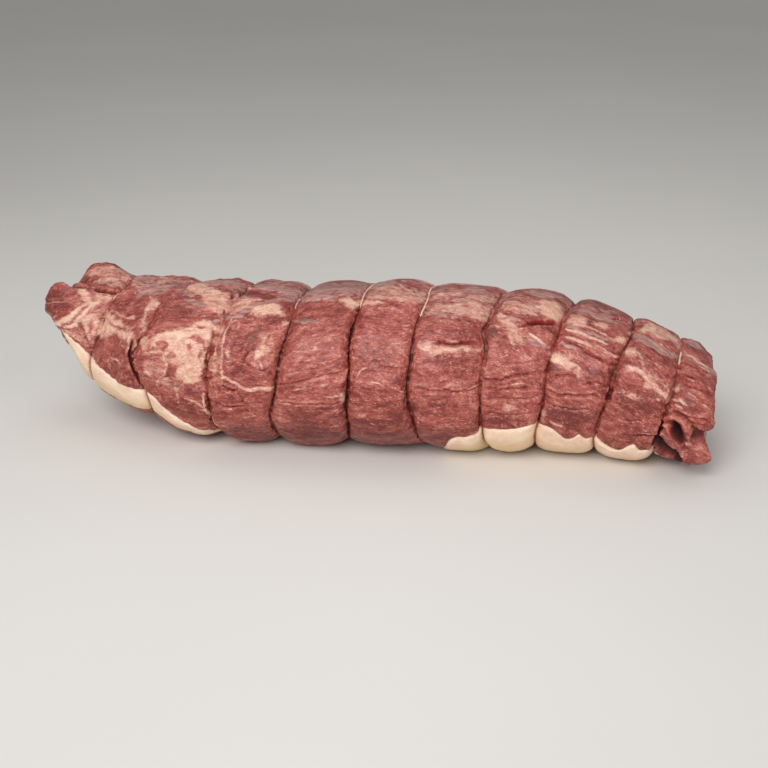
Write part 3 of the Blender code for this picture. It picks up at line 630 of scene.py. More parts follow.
lean = {
    "spacing": 0.86,        # mm between stations
    "tieSpacing": 0.3,      # and beside a string
    # angles from, to and steps: fine over what shows, coarse where the cap covers the meat
    "columns": [(-76, 160, 0.66), (160, 222, 1.2), (222, 284, 3.9)],
    "fromBehind": 150,      # angle past which the cap is reached from behind
    # how far the rims of the ends are rounded off, mm; then the way each end faces, the
    # station past which its rounding starts and the length over which it grows
    "rounding": 4.5, "rims": [(-1, 228, 10), (1, 216, 12)],
    "creaseDepth": 1.7,     # how far the string sinks below the pinched meat
    "creaseWidth": 0.58, "creaseOnTop": 0.28,   # its half width, and its share under a proud string
    "frayed": 0.45,         # torn edges beside a string
    "seams": 1.7, "lips": 0.3,   # depth of the seams against their marks, height of their lips
    "underCap": 0.15,       # share of the relief left under the fat cap
    "seat": 3.2,            # how far the lean lies back under the fat cap, mm
    # the places where the rings that close the ends shrink to, and how many there are
    "thinCore": (-245, 28, 80), "thickCore": -4, "thinRings": 26, "thickRings": 34,
    "names": ["leanThinEnd", "leanThinSide", "leanThickSide", "leanThickEnd"],
    "splits": (-106, -14, 122),  # strings under which the pieces meet
    # how open the crease of each tie is: heights, then its share at each
    "openAt": (-60, -15, -8, 24, 32, 60, 85),
    "open": [(0.6, 0.6, 0.6, 0.7, 0.7, 0.5, 0.5), (0.3, 0.6, 1, 1, 0.35, 0.25, 0.5),
             (0.8, 0.5, 0.35, 0.3, 0.25, 0.35, 0.6), (1, 1, 1, 1, 0.9, 0.6, 0.6),
             (1, 1, 1, 1, 1, 0.8, 0.5), (1, 1, 1, 1, 1, 0.9, 0.6),
             (1, 0.9, 0.8, 0.7, 0.9, 0.6, 0.8), (1, 0.9, 0.7, 0.35, 0.35, 0.3, 0.5),
             (0.9, 0.7, 0.9, 0.8, 0.5, 0.8, 1), (1, 1, 0.8, 0.5, 0.4, 0.35, 0.5)],
    # heights between which each string lies on top, and where it comes out behind; 400 never
    "shown": [(36, 50, 84), (400, 400, 100), (95, 400, 100), (63, 78, 100), (62, 400, 100),
              (58, 400, 100), (400, 400, 100), (400, 400, 100), (400, 400, 100), (42, 56, 90)],
}

# noises of the meat: height, noise, length along the grain and across it, shift, all in mm
texture = {
    # how far the marks and the seams wander along and round the joint
    "markU": [(1.0, noiseA, 15, 15, 0), (1.5, noiseC, 7, 7, 0), (1.1, noiseB, 3.2, 3.2, 0)],
    "markH": [(0.8, noiseC, 15, 15, 0), (1.3, noiseB, 8, 7, 0), (1.0, noiseA, 3.6, 3.2, 9)],
    "seamU": [(0.9, noiseA, 9, 9, 0), (0.5, noiseB, 3, 3, 0)],
    "seamH": [(0.8, noiseC, 9, 9, 0), (0.5, noiseB, 3, 3, 5)],
    "ragged": [(0.5, noiseC, 1.9, 1.9, 0)], "gash": [(1.1, noiseA, 2.2, 1.3, 0)],
    "jag": [(0.55, noiseB, 3.6, 3.6, 0), (0.33, noiseC, 8, 8, 0)],
    "raggedShade": [(0.6, noiseC, 2.5, 2.5, 0), (0.4, noiseA, 7, 7, 0)],
    # patches of fat and silverskin on the back
    "patch": [(9, noiseA, 30, 12, 0)], "film": [(9, noiseB, 52, 9, 0), (4.5, noiseC, 19, 4, 0)],
    # relief of the skin
    "muscle": [(0.9, noiseA, 36, 13, 0)], "strand": [(1, noiseB, 18, 6, 0)],
    "fibre": [(1, noiseC, 7, 2.6, 0)], "grain": [(0.14, noiseA, 2.2, 1.1, 0)],
    "lump": [(0.3, noiseC, 3.2, 3.2, 0)], "buckle": [(1, noiseB, 15, 8, 0)],
    "frayed": [(1, noiseB, 2.1, 2.1, 0)],
    "strandHeight": 0.34, "fibreHeight": 0.22, "buckleHeight": 0.55,
    "rugged": (0.9, 0.4),   # extra relief toward the thin end and toward the thick end
    # cut ends
    "part": [(1, noiseA, 40, 17, 0)], "marbling": [(1, noiseB, 30, 20, 0)],
    "cut": [(0.7, noiseC, 12, 12, 0), (0.25, noiseB, 3, 3, 0)],
}


def stationRows():
    # stations spaced by a density that rises beside each string
    step = 0.05
    fine = np.arange(joint["leftEnd"], joint["rightEnd"], step)
    away = np.abs(fine[:, None] - tieAt[None]).min(1)
    gap = lean["tieSpacing"] + (lean["spacing"] - lean["tieSpacing"]) * smooth(away, 2.5, 7)
    count = np.concatenate([[0], np.cumsum(step / gap)])
    edges = np.concatenate([fine, [joint["rightEnd"]]])
    steps = np.arange(0, int(count[-1]) + 1) * count[-1] / int(count[-1])
    rows = np.interp(steps, count, edges)
    for at in tieAt:  # one row exactly on each string
        rows[nearest(rows, at)] = at
    return rows


def wobble(index, h):
    # how a string wanders off its station, by height, in mm
    away = joint["wanderMean"] + sum(height * np.sin(h / length + index * start)
                                     for height, length, start in joint["wander"])
    if index in joint["bends"]:
        reach, at, spread = joint["bends"][index]
        away = away + reach * bell(h, at, spread)
    return away


def slideBy(u, h):
    # how far the strings' wander moves the meat along X
    return sum(wobble(i, h) * bell(u, at, joint["slide"]) for i, at in enumerate(tieAt))


def heights(p, angles):
    # length round each section from the front, mm, by adding up its small steps
    step = np.linalg.norm(np.diff(p[..., 1:], axis=1), axis=-1)
    total = np.concatenate([np.zeros((len(p), 1)), np.cumsum(step, axis=1)], axis=1)
    front = nearest(angles, 0)
    return total - total[:, front:front + 1]


def capEdge(u):
    # angle of the cap's front edge: its height, looked up along each station's section
    angles = np.arange(-112, 1.0)
    grid = np.meshgrid(u, angles, indexing="ij")
    h = heights(ends(skin(*grid), *grid), angles)
    edge = through(u, joint["capFront"], 1) + 0.7 * noiseA(u / 11, 0.5, 3.1)
    edge = edge + 0.5 * noiseB(u / 4.2, 0.5, 8.7)
    return np.array([np.interp(at, row, angles) for at, row in zip(edge, h)])


def exposure(index, h):
    # 1 where a string lies on the surface, 0 where the meat closes over it
    start, end, back = lean["shown"][index]
    front = smooth(h, start - 4, start + 2) * (1 - smooth(h, end - 3, end + 3))
    return np.maximum(front, smooth(h, back, back + 10))


def openness(index, h):
    # 1 where a string's crease gapes, less where the meat has closed over it
    return np.interp(h, lean["openAt"], lean["open"][index])


def grainTilt(u):
    # how far the fibres have dropped by station u, mm, with a slow wave
    return np.interp(u, joint["tiltAt"], joint["tilt"]) + 1.5 * np.sin(u / 34)


def endRings(rim, core, count, bulge, curl):
    # rings that close an end: each is drawn toward the core by f, 0 to 1, pushed out along X
    # in a low dome, with a spiral wave round the core like a loosely rolled cut
    f = (np.arange(1, count) / count) ** 0.85
    f = f[:, None]
    reach = 30  # columns on each side over which the inner rings are evened out
    kernel = np.ones(2 * reach + 1) / (2 * reach + 1)
    calm = np.stack([np.convolve(np.pad(rim[:, k], reach, mode="wrap"), kernel, "valid")
                     for k in range(3)], -1)
    g = smooth(f, 0.02, 0.3)[..., None]
    ring = (rim[None] * (1 - g) + calm[None] * g) * (1 - f[..., None]) + core * f[..., None]
    turn = np.arctan2(rim[:, 2] - core[2], rim[:, 1] - core[1])[None]
    wave = curl * np.sin(3 * math.pi * f + turn) * np.sin(math.pi * f)
    dome = np.sin(0.5 * math.pi * np.minimum(f * 2.5, 1)) * (1 - f) ** 0.3
    ring[..., 0] += bulge * dome + wave
    return ring


def underCap(u, angle, edge):
    # 1 where the cap covers the meat, from its front edge round the underside to its back
    behind = angle > lean["fromBehind"]
    around = np.where(behind, angle - 360, angle)
    fromBack = np.where(behind, smooth(angle - joint["capBack"], -1, 7), 1)
    covered = smooth(edge - around, -1, 7) * fromBack
    return covered * smooth(u, -236, -228) * (1 - smooth(u, 200, 212))


def markFields(seen, h, place, along):
    # fields of fat, silverskin, tone, dry meat and gashes from their marks; on the back and
    # underneath, patches stand where noise runs high
    u, high = seen + layered(texture["markU"], *place), h + layered(texture["markH"], *place)
    seamU = seen + layered(texture["seamU"], *place)
    seamH = h + layered(texture["seamH"], *place)
    fat = np.maximum(blobField(u, high, marks["fatBlobs"]),
                     patchField(u, high, marks["fatPatches"]))
    fat = np.maximum(fat, streakField(seamU, seamH, marks["fatStreaks"]))
    silver = np.maximum(blobField(u, high, marks["silverBlobs"]),
                        streakField(u, high, marks["silverStreaks"]))
    holes = blobField(u, high, marks["redHoles"])
    fat, silver = np.minimum(fat, -holes), np.minimum(silver, -holes)
    away = np.maximum(smooth(h, 102, 112), smooth(-h, 55, 65))
    patch = np.clip(layered(texture["patch"], *along) - 2.7, -8, 4)
    film = np.clip(layered(texture["film"], *along) - 0.9, -8, 1.6)
    gash = blobField(u, high, marks["gashes"]) + layered(texture["gash"], *place)
    return {"fat": fat + (patch - fat) * away, "silver": silver + (film - silver) * away,
            "tone": toneField(u, high, marks["tones"]), "dry": blobField(u, high, marks["dry"]),
            "gash": gash, "seamU": seamU, "seamH": seamH}


def meatRelief(u, place, along, field):
    # muscles, strands, fibres and grain, rougher toward both ends, smoother on fat
    isFat = smooth(field["fat"], -0.5, 1.2)
    isSilver = smooth(field["silver"], -1, 1.5) * (1 - isFat)
    thin, thick = texture["rugged"]
    rugged = 1 + thin * (1 - smooth(u, -112, -62)) + thick * smooth(u, 150, 200)
    strand = layered(texture["strand"], *along, crests) - 0.5
    fibre = layered(texture["fibre"], *along, crests) - 0.4
    relief = layered(texture["muscle"], *along)
    relief += texture["strandHeight"] * strand * (1 - 0.5 * isFat)
    relief += texture["fibreHeight"] * fibre * (1 - 0.6 * isFat - 0.4 * isSilver)
    buckle = layered(texture["buckle"], *place, crests) - 0.4
    relief = relief * rugged + texture["buckleHeight"] * (rugged - 1) * buckle
    relief += isFat * (0.3 + layered(texture["lump"], *place) * rugged)
    return relief + layered(texture["grain"], *along) - 0.8 * smooth(field["gash"], 0, 1.5)


def foldRelief(u, h):
    # raised folds and sunk pits of the loose thick end, and the shadow painted into the pits
    relief, hollow = np.zeros(u.shape), np.zeros(u.shape)
    for width, height, *points in marks["folds"]:
        d, t = toLine(u, h, points)
        taper = np.clip(8 * t * (1 - t), 0, 1) ** 0.5
        relief += height * smooth(-d, -1.5 * width, -0.4 * width) * taper
    for deep, shade, *corners in marks["pits"]:
        pit = smooth(patchDepth(u, h, corners), -1.2, 1.8)
        relief -= deep * pit
        hollow = np.maximum(hollow, pit * shade)
    return relief, hollow


def creaseShare(u, h, place):
    # a narrow fold along each string, shallow where the string lies on top
    crease = np.zeros(u.shape)
    jag = layered(texture["jag"], *place)
    for i, at in enumerate(tieAt):
        narrow = np.exp(-(np.abs(u - at + jag) / lean["creaseWidth"]) ** 1.5)
        onTop = 1 - (1 - lean["creaseOnTop"]) * exposure(i, h)
        narrow = narrow * onTop * openness(i, h)
        crease = np.maximum(crease, narrow)
    return crease


def leanSurface():
    # the whole lean on one grid of stations and angles: the joint's skin, the slide of the
    # strings, then relief along the outward normal; returns points, rows' stations and layers
    rows = stationRows()
    columns = np.concatenate([np.arange(*part) for part in lean["columns"]])
    u, angle = np.meshgrid(rows, columns, indexing="ij")
    covered = underCap(u, angle, capEdge(rows)[:, None])
    rim = lean["rounding"] * sum(np.clip((way * u - start) / length, 0, 1) ** 2.4
                                 for way, start, length in lean["rims"])
    p = ends(skin(u, angle, rim), u, angle)
    inner = ends(skin(u, angle, rim + 1.0), u, angle) - p
    p = p + inner * (lean["seat"] * covered)[..., None]
    h = heights(p, columns)
    slide = slideBy(u, h)
    p[..., 0] += slide

    place = x, y, z = p[..., 0].copy(), p[..., 1].copy(), p[..., 2].copy()
    tilt = grainTilt(u + slide)
    along = (x, y + tilt, z + tilt)
    field = markFields(u + slide, h, place, along)
    ragged = layered(texture["ragged"], *place)
    seam, lips = seamDepth(field["seamU"] + ragged, field["seamH"] + ragged, marks["seams"])
    folds, hollow = foldRelief(field["seamU"], field["seamH"])
    crease = creaseShare(u, h, place)
    frayed = bell(np.abs(u[..., None] - tieAt).min(-1), 1.8, 1.6)
    relief = meatRelief(u, place, along, field) + folds
    relief += lean["lips"] * lips - lean["seams"] * seam - lean["creaseDepth"] * crease
    relief += lean["frayed"] * frayed * (layered(texture["frayed"], *place) + 0.1)
    relief *= 1 - (1 - lean["underCap"]) * covered
    p = p + outward(p) * relief[..., None]
    p[..., 2] = np.maximum(p[..., 2], 0.15)  # clear of the board

    # painted shade in the creases along the strings and in the seams, broken up by noise, and painted
    # shadow in the pits
    raggedShade = np.clip(0.7 + layered(texture["raggedShade"], *place), 0.55, 1)
    paintedShade = np.maximum(crease * raggedShade, 0.65 * np.clip(seam / 1.6, 0, 1) ** 1.1)
    cover, extra = leanLayers(field, np.maximum(paintedShade, hollow), lips)
    return p, rows, columns, h, cover, extra, np.stack(along, -1)


def leanLayers(field, paintedShade, lips):
    # the lean's colour layers: fat and silverskin at 12 mm to the unit, painted shade and tone,
    # with a painted highlight on the seams' raised lips; then dry meat and gashes
    # a painted highlight on the seams' raised lips
    tone = field["tone"] + 0.4 * np.clip(lips, 0, 1)
    cover = [0.5 + field["fat"] / 12, 0.5 + field["silver"] / 12, paintedShade, 0.5 + tone / 2]
    extra = [smooth(field["dry"], -0.8, 1.2), smooth(field["gash"], -0.6, 0.8), 0 * paintedShade]
    return np.clip(np.stack(cover, -1), 0, 1), np.stack(extra, -1)


def leanPieces(material):
    # the lean in pieces that meet under strings; the first and last close their ends
    p, rows, columns, h, *layers = leanSurface()
    cuts = [0] + [nearest(rows, at) for at in lean["splits"]] + [len(rows) - 1]
    for k, name in enumerate(lean["names"]):
        groups = [field[cuts[k]:cuts[k + 1] + 1] for field in [p] + layers]
        q = groups[0]
        if k == 0:
            core = np.array(lean["thinCore"], float)
            cap = endRings(q[0], core, lean["thinRings"], -1.5, 1.5)[::-1]
            groups = endLayers(cap, groups, True)
        if k == len(lean["names"]) - 1:
            core = np.array([joint["rightEnd"] + lean["thickCore"], q[-1][:, 1].mean(),
                             q[-1][:, 2].mean()])
            cap = endRings(q[-1], core, lean["thickRings"], -2.0, 2.6)
            groups = endLayers(cap, groups, False)
        q, cover, extra, grain = groups
        points, faces = closeEnds(q.reshape(-1, 3), gridFaces(*q.shape[:2]), *q.shape[:2])
        layer = {"cover": flatLayer(cover), "extra": flatLayer(extra), "grain": flatLayer(grain)}
        addMesh(name, points, faces, layer, material, "beef" if k == 0 else None)
        print(name, len(points), "points")
    return p, rows, columns, h


def flatLayer(layer):
    # a layer in the order of its points, with the two middles that close the ends
    rows = layer.reshape(-1, layer.shape[-1])
    return np.concatenate([rows, layer[0].mean(0)[None], layer[-1].mean(0)[None]])


def endLayers(cap, groups, first):
    # a cut end: relief and layers for its rings, with muscles parted by curving sunk seams
    # that carry painted shade, and streaks of fat
    x, y, z = cap[..., 0], cap[..., 1], cap[..., 2]
    seam = bell(layered(texture["part"], x, y, z), 0, 0.05)
    fat = 2.5 * bell(layered(texture["marbling"], x, y, z), 0, 0.08) - 1.2
    rise = layered(texture["cut"], x, y, z) - 0.9 * seam
    inside = smooth(np.arange(len(cap)) / len(cap), 0.0, 0.08)[:, None]
    if first:
        inside = inside[::-1]
    cap = cap.copy()
    cap[..., 0] += rise * inside * (-1 if first else 1)
    # the seams carry painted shade at half strength
    cover = np.stack([np.clip(0.5 + fat / 12, 0, 1), np.full(x.shape, 0.1),
                      0.5 * seam, np.full(x.shape, 0.45)], -1)
    near = groups[1][0] if first else groups[1][-1]
    cover = cover * inside[..., None] + near[None] * (1 - inside[..., None])
    way = np.stack([z * 0.6, y, x * 2 + z], -1)
    added = (cap, cover, np.zeros(cap.shape), way)
    return [np.concatenate([ring, group] if first else [group, ring])
            for ring, group in zip(added, groups)]


fatCap = {
    "across": 70,           # columns from the front edge to the back
    "stations": (-236.4, 211.5),   # where it starts and stops
    "full": (-228, 203),    # stations between which it has its whole thickness
    "lift": 0.5, "sunk": 1.7,   # how proud it stands of the skin, how far its edge dips, mm
    "lip": 5.0,             # degrees over which its edge rises
    "edge": 2.6,            # thickness at its edges, mm
    # how deep its tips are tucked in at the thin and the thick end, and their thickness, mm
    "thinTip": 2.6, "thickTip": 1.2, "tipThick": 3.6,
    # its lumps, folds, yellower underside, tone and pink edge
    "lump": [(0.5, noiseA, 11, 11, 0), (0.25, noiseB, 4, 4, 0), (0.1, noiseC, 1.8, 1.8, 0)],
    "fold": [(1, noiseC, 30, 12, 0)],
    "fade": [(4, noiseC, 20, 20, 0)], "tone": [(0.22, noiseB, 16, 16, 0)],
    "blush": [(0.5, noiseA, 9, 9, 0)],
    # stations, and how far below the edge raw meat starts there
    "rawAt": (-240, -200, -150, -110), "rawFrom": (40, 28, 21, 13),
    "rawEdge": [(3, noiseA, 14, 8, 0)], "rawStreak": [(0.6, noiseB, 26, 4, 0)],
}


def capSurface():
    # outer skin from the front edge round under the joint to the back edge, then the inner
    # skin back again: both follow the joint's skin, the inner one at the cap's thickness
    start, stop = fatCap["stations"]
    rows = stationRows()
    rows = rows[(rows > start) & (rows < stop)]
    t = np.linspace(0, 1, fatCap["across"]) ** 1.3
    front = capEdge(rows)[:, None] + 1.5
    back = joint["capBack"] - 360 - 1.5 + 0 * front
    angle = front + (back - front) * t[None]
    u = np.repeat(rows[:, None], len(t), 1)
    fromEdge = np.minimum(front - angle, angle - back)
    full = joint["capThick"] * (1 - 0.45 * smooth(u, 150, 212)) - fatCap["edge"]
    thick = full * smooth(fromEdge, -4, 16) + fatCap["edge"]
    close = smooth(u, start, fatCap["full"][0]) * (1 - smooth(u, fatCap["full"][1], stop))
    rise = (fatCap["lift"] + fatCap["sunk"]) * smooth(fromEdge, 0, fatCap["lip"])
    tip = np.where(u < 0, fatCap["thinTip"], fatCap["thickTip"])
    rise = (rise - fatCap["sunk"]) * close - tip * (1 - close)
    base = ends(skin(u, angle), u, angle)
    inward = ends(skin(u, angle, 1.0), u, angle) - base
    step = np.linalg.norm(np.diff(base[..., 1:], axis=1), axis=-1)
    h = np.cumsum(np.concatenate([np.zeros((len(rows), 1)), step], 1), 1)
    base[..., 0] += slideBy(u, -h - 10)
    place = base[..., 0], base[..., 1], base[..., 2]
    fold = smooth(layered(fatCap["fold"], *place, crests), 0.84, 0.99)
    crease = np.exp(-(np.abs(u[..., None] - tieAt).min(-1) / 1.2) ** 1.5)
    relief = (layered(fatCap["lump"], *place) - 0.3 * fold - 1.6 * crease) * close
    outer = base - inward * (rise + relief)[..., None]
    inner = base + inward * (thick * close + fatCap["tipThick"] * (1 - close))[..., None]
    outer[..., 2] = np.maximum(outer[..., 2], 0.0)
    inner[..., 2] = np.maximum(inner[..., 2], 0.6)
    points = np.concatenate([outer, inner[:, ::-1]], 1)
    cover, extra = capLayers(u, h, place, crease, fold)
    return points, [np.concatenate([f, f[:, ::-1]], 1) for f in (cover, extra, base)]


def capLayers(u, h, place, crease, fold):
    # layers of blush, yellower fat underneath, painted shade in its creases and wrinkles,
    # and tone; toward the thin end the fat is thin, and raw meat streaked with fat lies under it
    fade = smooth(h + layered(fatCap["fade"], *place), 8, 24)
    blush = np.clip(smooth(-h, -5, 0) + layered(fatCap["blush"], *place), 0, 1)
    cover = np.stack([blush, fade, np.clip(crease + 0.3 * fold, 0, 1),
                      0.5 + layered(fatCap["tone"], *place)], -1)
    rawFrom = np.interp(u, fatCap["rawAt"], fatCap["rawFrom"]) + layered(fatCap["rawEdge"], *place)
    raw = smooth(h, rawFrom, rawFrom + 4) * (1 - smooth(u, -104, -84))
    raw = np.clip(raw * (0.95 + layered(fatCap["rawStreak"], *place)), 0, 1)
    return cover, np.stack([raw, 0 * raw, 0 * raw], -1)


def capPiece(material):
    # the fat cap as one flattened tube, closed at both its ends
    points, (cover, extra, grain) = capSurface()
    rows, columns = points.shape[:2]
    faces = closeSlit(gridFaces(rows, columns), rows, columns)
    layers = {"cover": cover.reshape(-1, 4), "extra": extra.reshape(-1, 3),
              "grain": grain.reshape(-1, 3)}
    addMesh("fatCap", points.reshape(-1, 3), faces, layers, material, "fat_cap")
    print("fatCap", points.shape[0] * columns, "points")


def closeSlit(faces, rows, columns):
    # closes each end of a flattened tube with quads from its outer to its inner edge
    c = np.arange(columns // 2 - 1)
    low = np.stack([c, columns - 1 - c, columns - 2 - c, c + 1], -1)
    base = (rows - 1) * columns
    high = np.stack([base + c, base + c + 1, base + columns - 2 - c, base + columns - 1 - c], -1)
    return np.concatenate([faces, low[:, ::-1], high[:, ::-1]])


string = {
    "radius": 0.72,         # of each twisted string, mm
    "plies": 3,
    "ply": (0.74, 0.3),     # its radius between two plies, and how much more on a ply
    "pitch": 5.5,           # length of one full turn of a ply
    "around": 14,           # points round it
    "step": 0.7,            # and mm between its rings
    "sunk": 1.5, "proud": 0.6,   # how deep it lies in its crease, and how high on top
    "knotAngle": 136,
    "knotSize": (0.62, 0.5, 1.0),   # of the knot's path across and upward, and its height
    "tag": (8, 6),          # loose ends past the knot
}


def crossWays(path, closed):
    # two cross directions at each point of a path, kept from turning by measuring them
    # against the joint's length
    ahead = np.roll(path, -1, 0) - np.roll(path, 1, 0) if closed else np.gradient(path, axis=0)
    ahead /= np.linalg.norm(ahead, axis=1, keepdims=True)
    side = np.tile([1.0, 0.02, 0.01], (len(path), 1))
    side -= (side * ahead).sum(1, keepdims=True) * ahead
    weak = np.linalg.norm(side, axis=1) < 0.3
    side[weak] = np.cross(ahead[weak], [0, 0.3, 1.0])
    side /= np.linalg.norm(side, axis=1, keepdims=True)
    return side, np.cross(ahead, side)


def evenPath(path, step, closed):
    # the same path with points a step apart
    full = np.concatenate([path, path[:1]]) if closed else path
    length = np.concatenate([[0], np.cumsum(np.linalg.norm(np.diff(full, axis=0), axis=1))])
    count = max(int(length[-1] / step), 6)
    at = np.linspace(0, length[-1], count + 1)
    at = at[:-1] if closed else at
    return np.stack([np.interp(at, length, full[:, k]) for k in range(3)], 1), at


def twine(path, closed):
    # a twisted string: round its path the radius swells over each ply with
    # |cos(plies/2 (phi - turn))|, and the plies turn along it
    path, at = evenPath(path, string["step"], closed)
    side, up = crossWays(path, closed)
    phi = np.linspace(0, 2 * math.pi, string["around"], endpoint=False)
    turn = 2 * math.pi * at / string["pitch"]
    if closed:
        turns = round(at[-1] / string["pitch"] * string["plies"]) / string["plies"]
        turn = 2 * math.pi * turns * np.arange(len(at)) / len(at)
    lobe = np.abs(np.cos(0.5 * string["plies"] * (phi[None] - turn[:, None])))
    low, more = string["ply"]
    size = string["radius"] * (low + more * lobe)
    if not closed:
        s = np.linspace(0, 1, len(path))
        size = size * np.clip(np.minimum(s, 1 - s) * len(path) / 1.5, 0.25, 1)[:, None]
    points = (path[:, None] + side[:, None] * (np.cos(phi)[None] * size)[..., None]
              + up[:, None] * (np.sin(phi)[None] * size)[..., None])
    rows, columns = points.shape[:2]
    grain = np.stack([np.repeat(at[:, None], columns, 1), np.repeat(phi[None], rows, 0),
                      lobe], -1).reshape(-1, 3)
    if closed:
        r = np.arange(rows)[:, None] * columns
        c = np.arange(columns)[None]
        n = (np.arange(rows)[:, None] + 1) % rows * columns
        after = (c + 1) % columns
        faces = np.stack([r + c, n + c, n + after, r + after], -1)
        return points.reshape(-1, 3), faces.reshape(-1, 4), grain
    faces = gridFaces(rows, columns)[:, ::-1]
    flat, faces = closeEnds(points.reshape(-1, 3), faces, rows, columns)
    return flat, faces, np.concatenate([grain, grain[:1], grain[-1:]])


def tiePath(index, p, rows, h):
    # the string lies on its row of the meat, sunk in the crease or proud on top
    row = nearest(rows, tieAt[index])
    ring, out = p[row].copy(), outward(p[row - 14:row + 15:7])[2]
    keep = np.concatenate([[True], np.linalg.norm(np.diff(ring, axis=0), axis=1) > 0.05])
    show = exposure(index, h[row])
    sunk = string["sunk"] + lean["creaseDepth"] * (1 - openness(index, h[row]))
    lift = string["proud"] * show - sunk * (1 - show)
    for k in (1, 2):  # evened out over nine points
        ring[:, k] = np.convolve(np.pad(ring[:, k], 4, mode="wrap"), np.ones(9) / 9, "valid")
    ring += out * lift[:, None]
    ring[:, 2] = np.maximum(ring[:, 2], string["radius"] + 0.1)
    return ring[keep]


def knot(centre, out, across, seed):
    # an overhand knot: a trefoil path flattened against the meat, and two loose ends
    s = np.linspace(0, 2 * math.pi, 60)
    a, b, c = np.sin(s) + 2 * np.sin(2 * s), np.cos(s) - 2 * np.cos(2 * s), -np.sin(3 * s)
    ahead = np.cross(out, across)
    wide, high, above = string["knotSize"]
    loop = (centre + across * (a * wide)[:, None] + ahead * (b * wide)[:, None]
            + out * (c * high + above)[:, None])
    rng = np.random.default_rng(seed)
    parts = [(loop[:-1], True)]
    for way, length in zip((1, -1), string["tag"]):
        t = np.linspace(0, 1, 24)
        length = length * rng.uniform(0.75, 1.1)
        swing = rng.uniform(-0.4, 0.4)
        x = way * length * t * math.cos(swing)
        y = length * (0.35 * t + 0.45 * t * t) + length * t * math.sin(swing) * 0.4
        z = 1.5 + 1.2 * np.sin(math.pi * t) - 0.9 * t
        parts.append((centre + across * x[:, None] + ahead * y[:, None] + out * z[:, None], False))
    return parts


def tiePiece(index, material, p, rows, columns, h):
    # one string round the meat with its knot and both loose ends, as one closed piece each
    path = tiePath(index, p, rows, h)
    column, row = nearest(columns, string["knotAngle"]), nearest(rows, tieAt[index])
    centre = p[row, column]
    out = outward(p[row - 3:row + 4, column - 3:column + 4])[3, 3]
    across = np.array([1.0, 0, 0]) - out * out[0]
    across /= np.linalg.norm(across)
    runs = [(path, True)] + knot(centre, out, across, 60 + index)
    points, faces, grain, total = [], [], [], 0
    for line, closed in runs:
        rings, quads, way = twine(line, closed)
        points.append(rings)
        faces.append(quads + total)
        grain.append(way)
        total += len(rings)
    name = "string%02d" % (index + 1)
    addMesh(name, np.concatenate(points), np.concatenate(faces), {"grain": np.concatenate(grain)},
            material, "tie_%02d" % (index + 1))


class Shade:
    # a shader socket; arithmetic on it adds Math nodes, and node() adds any other

    def __init__(self, tree, socket=None):
        self.tree = tree
        self.socket = socket

    def node(self, kind, settings=None, inputs=None, output=0):
        # a new node with its settings, and the values or links of its sockets
        item = self.tree.nodes.new(kind)
        for key, value in (settings or {}).items():
            setattr(item, key, value)
        for key, value in (inputs or {}).items():
            if isinstance(value, Shade):
                self.tree.links.new(value.socket, item.inputs[key])
            else:
                item.inputs[key].default_value = value
        return Shade(self.tree, item.outputs[output] if item.outputs else None)

    def layer(self, name, output=1):
        # a layer stored on the mesh: output 0 its colour, 1 its vector, 3 its fourth number
        return self.node("ShaderNodeAttribute", {"attribute_name": name}, None, output)

    def sum(self, operation, *values):
        # a Math node of these values
        return self.node("ShaderNodeMath", {"operation": operation}, dict(enumerate(values)))

    def __add__(self, other):
        return self.sum("ADD", self, other)

    def __sub__(self, other):
        return self.sum("SUBTRACT", self, other)

    def __rsub__(self, other):
        return self.sum("SUBTRACT", other, self)

    def __mul__(self, other):
        return self.sum("MULTIPLY", self, other)

    __radd__ = __add__
    __rmul__ = __mul__

    def between(self, start, end):
        # 0 at start, 1 at end, smooth between
        return self.node("ShaderNodeMapRange", {"interpolation_type": "SMOOTHSTEP"},
                         {0: self, 1: start, 2: end, 3: 0.0, 4: 1.0})

    def bigger(self, other):
        # the larger of the two
        return self.sum("MAXIMUM", self, other)

    def blend(self, first, second):
        # mixes two colours by this value
        return self.node("ShaderNodeMix", {"data_type": "RGBA"},
                         {0: self, 6: first, 7: second}, 2)

    def scaled(self, x, y, z):
        # this vector, stretched
        return self.node("ShaderNodeVectorMath", {"operation": "MULTIPLY"},
                         {0: self, 1: (x, y, z)})

    def noise(self, scale, detail=2, rough=0.5, distortion=0):
        # noise at the place that this vector gives
        return self.node("ShaderNodeTexNoise", None,
                         {"Vector": self, "Scale": scale, "Detail": detail,
                          "Roughness": rough, "Distortion": distortion})

    def split(self, which):
        # one of this vector's three numbers
        return self.node("ShaderNodeSeparateXYZ", None, {0: self}, which)


def colour(r, g, b):
    # screen colour, 0 to 255, as the shader's own
    def straight(v):
        v = v / 255
        return v / 12.92 if v <= 0.04045 else ((v + 0.055) / 1.055) ** 2.4
    return (straight(r), straight(g), straight(b), 1.0)


def newMaterial(name):
    # an empty material, and the Shade that fills it
    material = bpy.data.materials.new(name)
    material.use_nodes = True
    material.node_tree.nodes.clear()
    return material, Shade(material.node_tree)


def finishMaterial(shade, base, rough, height, distance, constants):
    # Principled surface with a bump, its constants set on its own sockets
    bump = shade.node("ShaderNodeBump", None, {"Height": height, "Distance": distance,
                                               "Strength": 1.0})
    surface = shade.node("ShaderNodeBsdfPrincipled", None, dict(constants, **{
        "Base Color": base, "Roughness": rough, "Normal": bump}))
    shade.node("ShaderNodeOutputMaterial", None, {"Surface": surface})


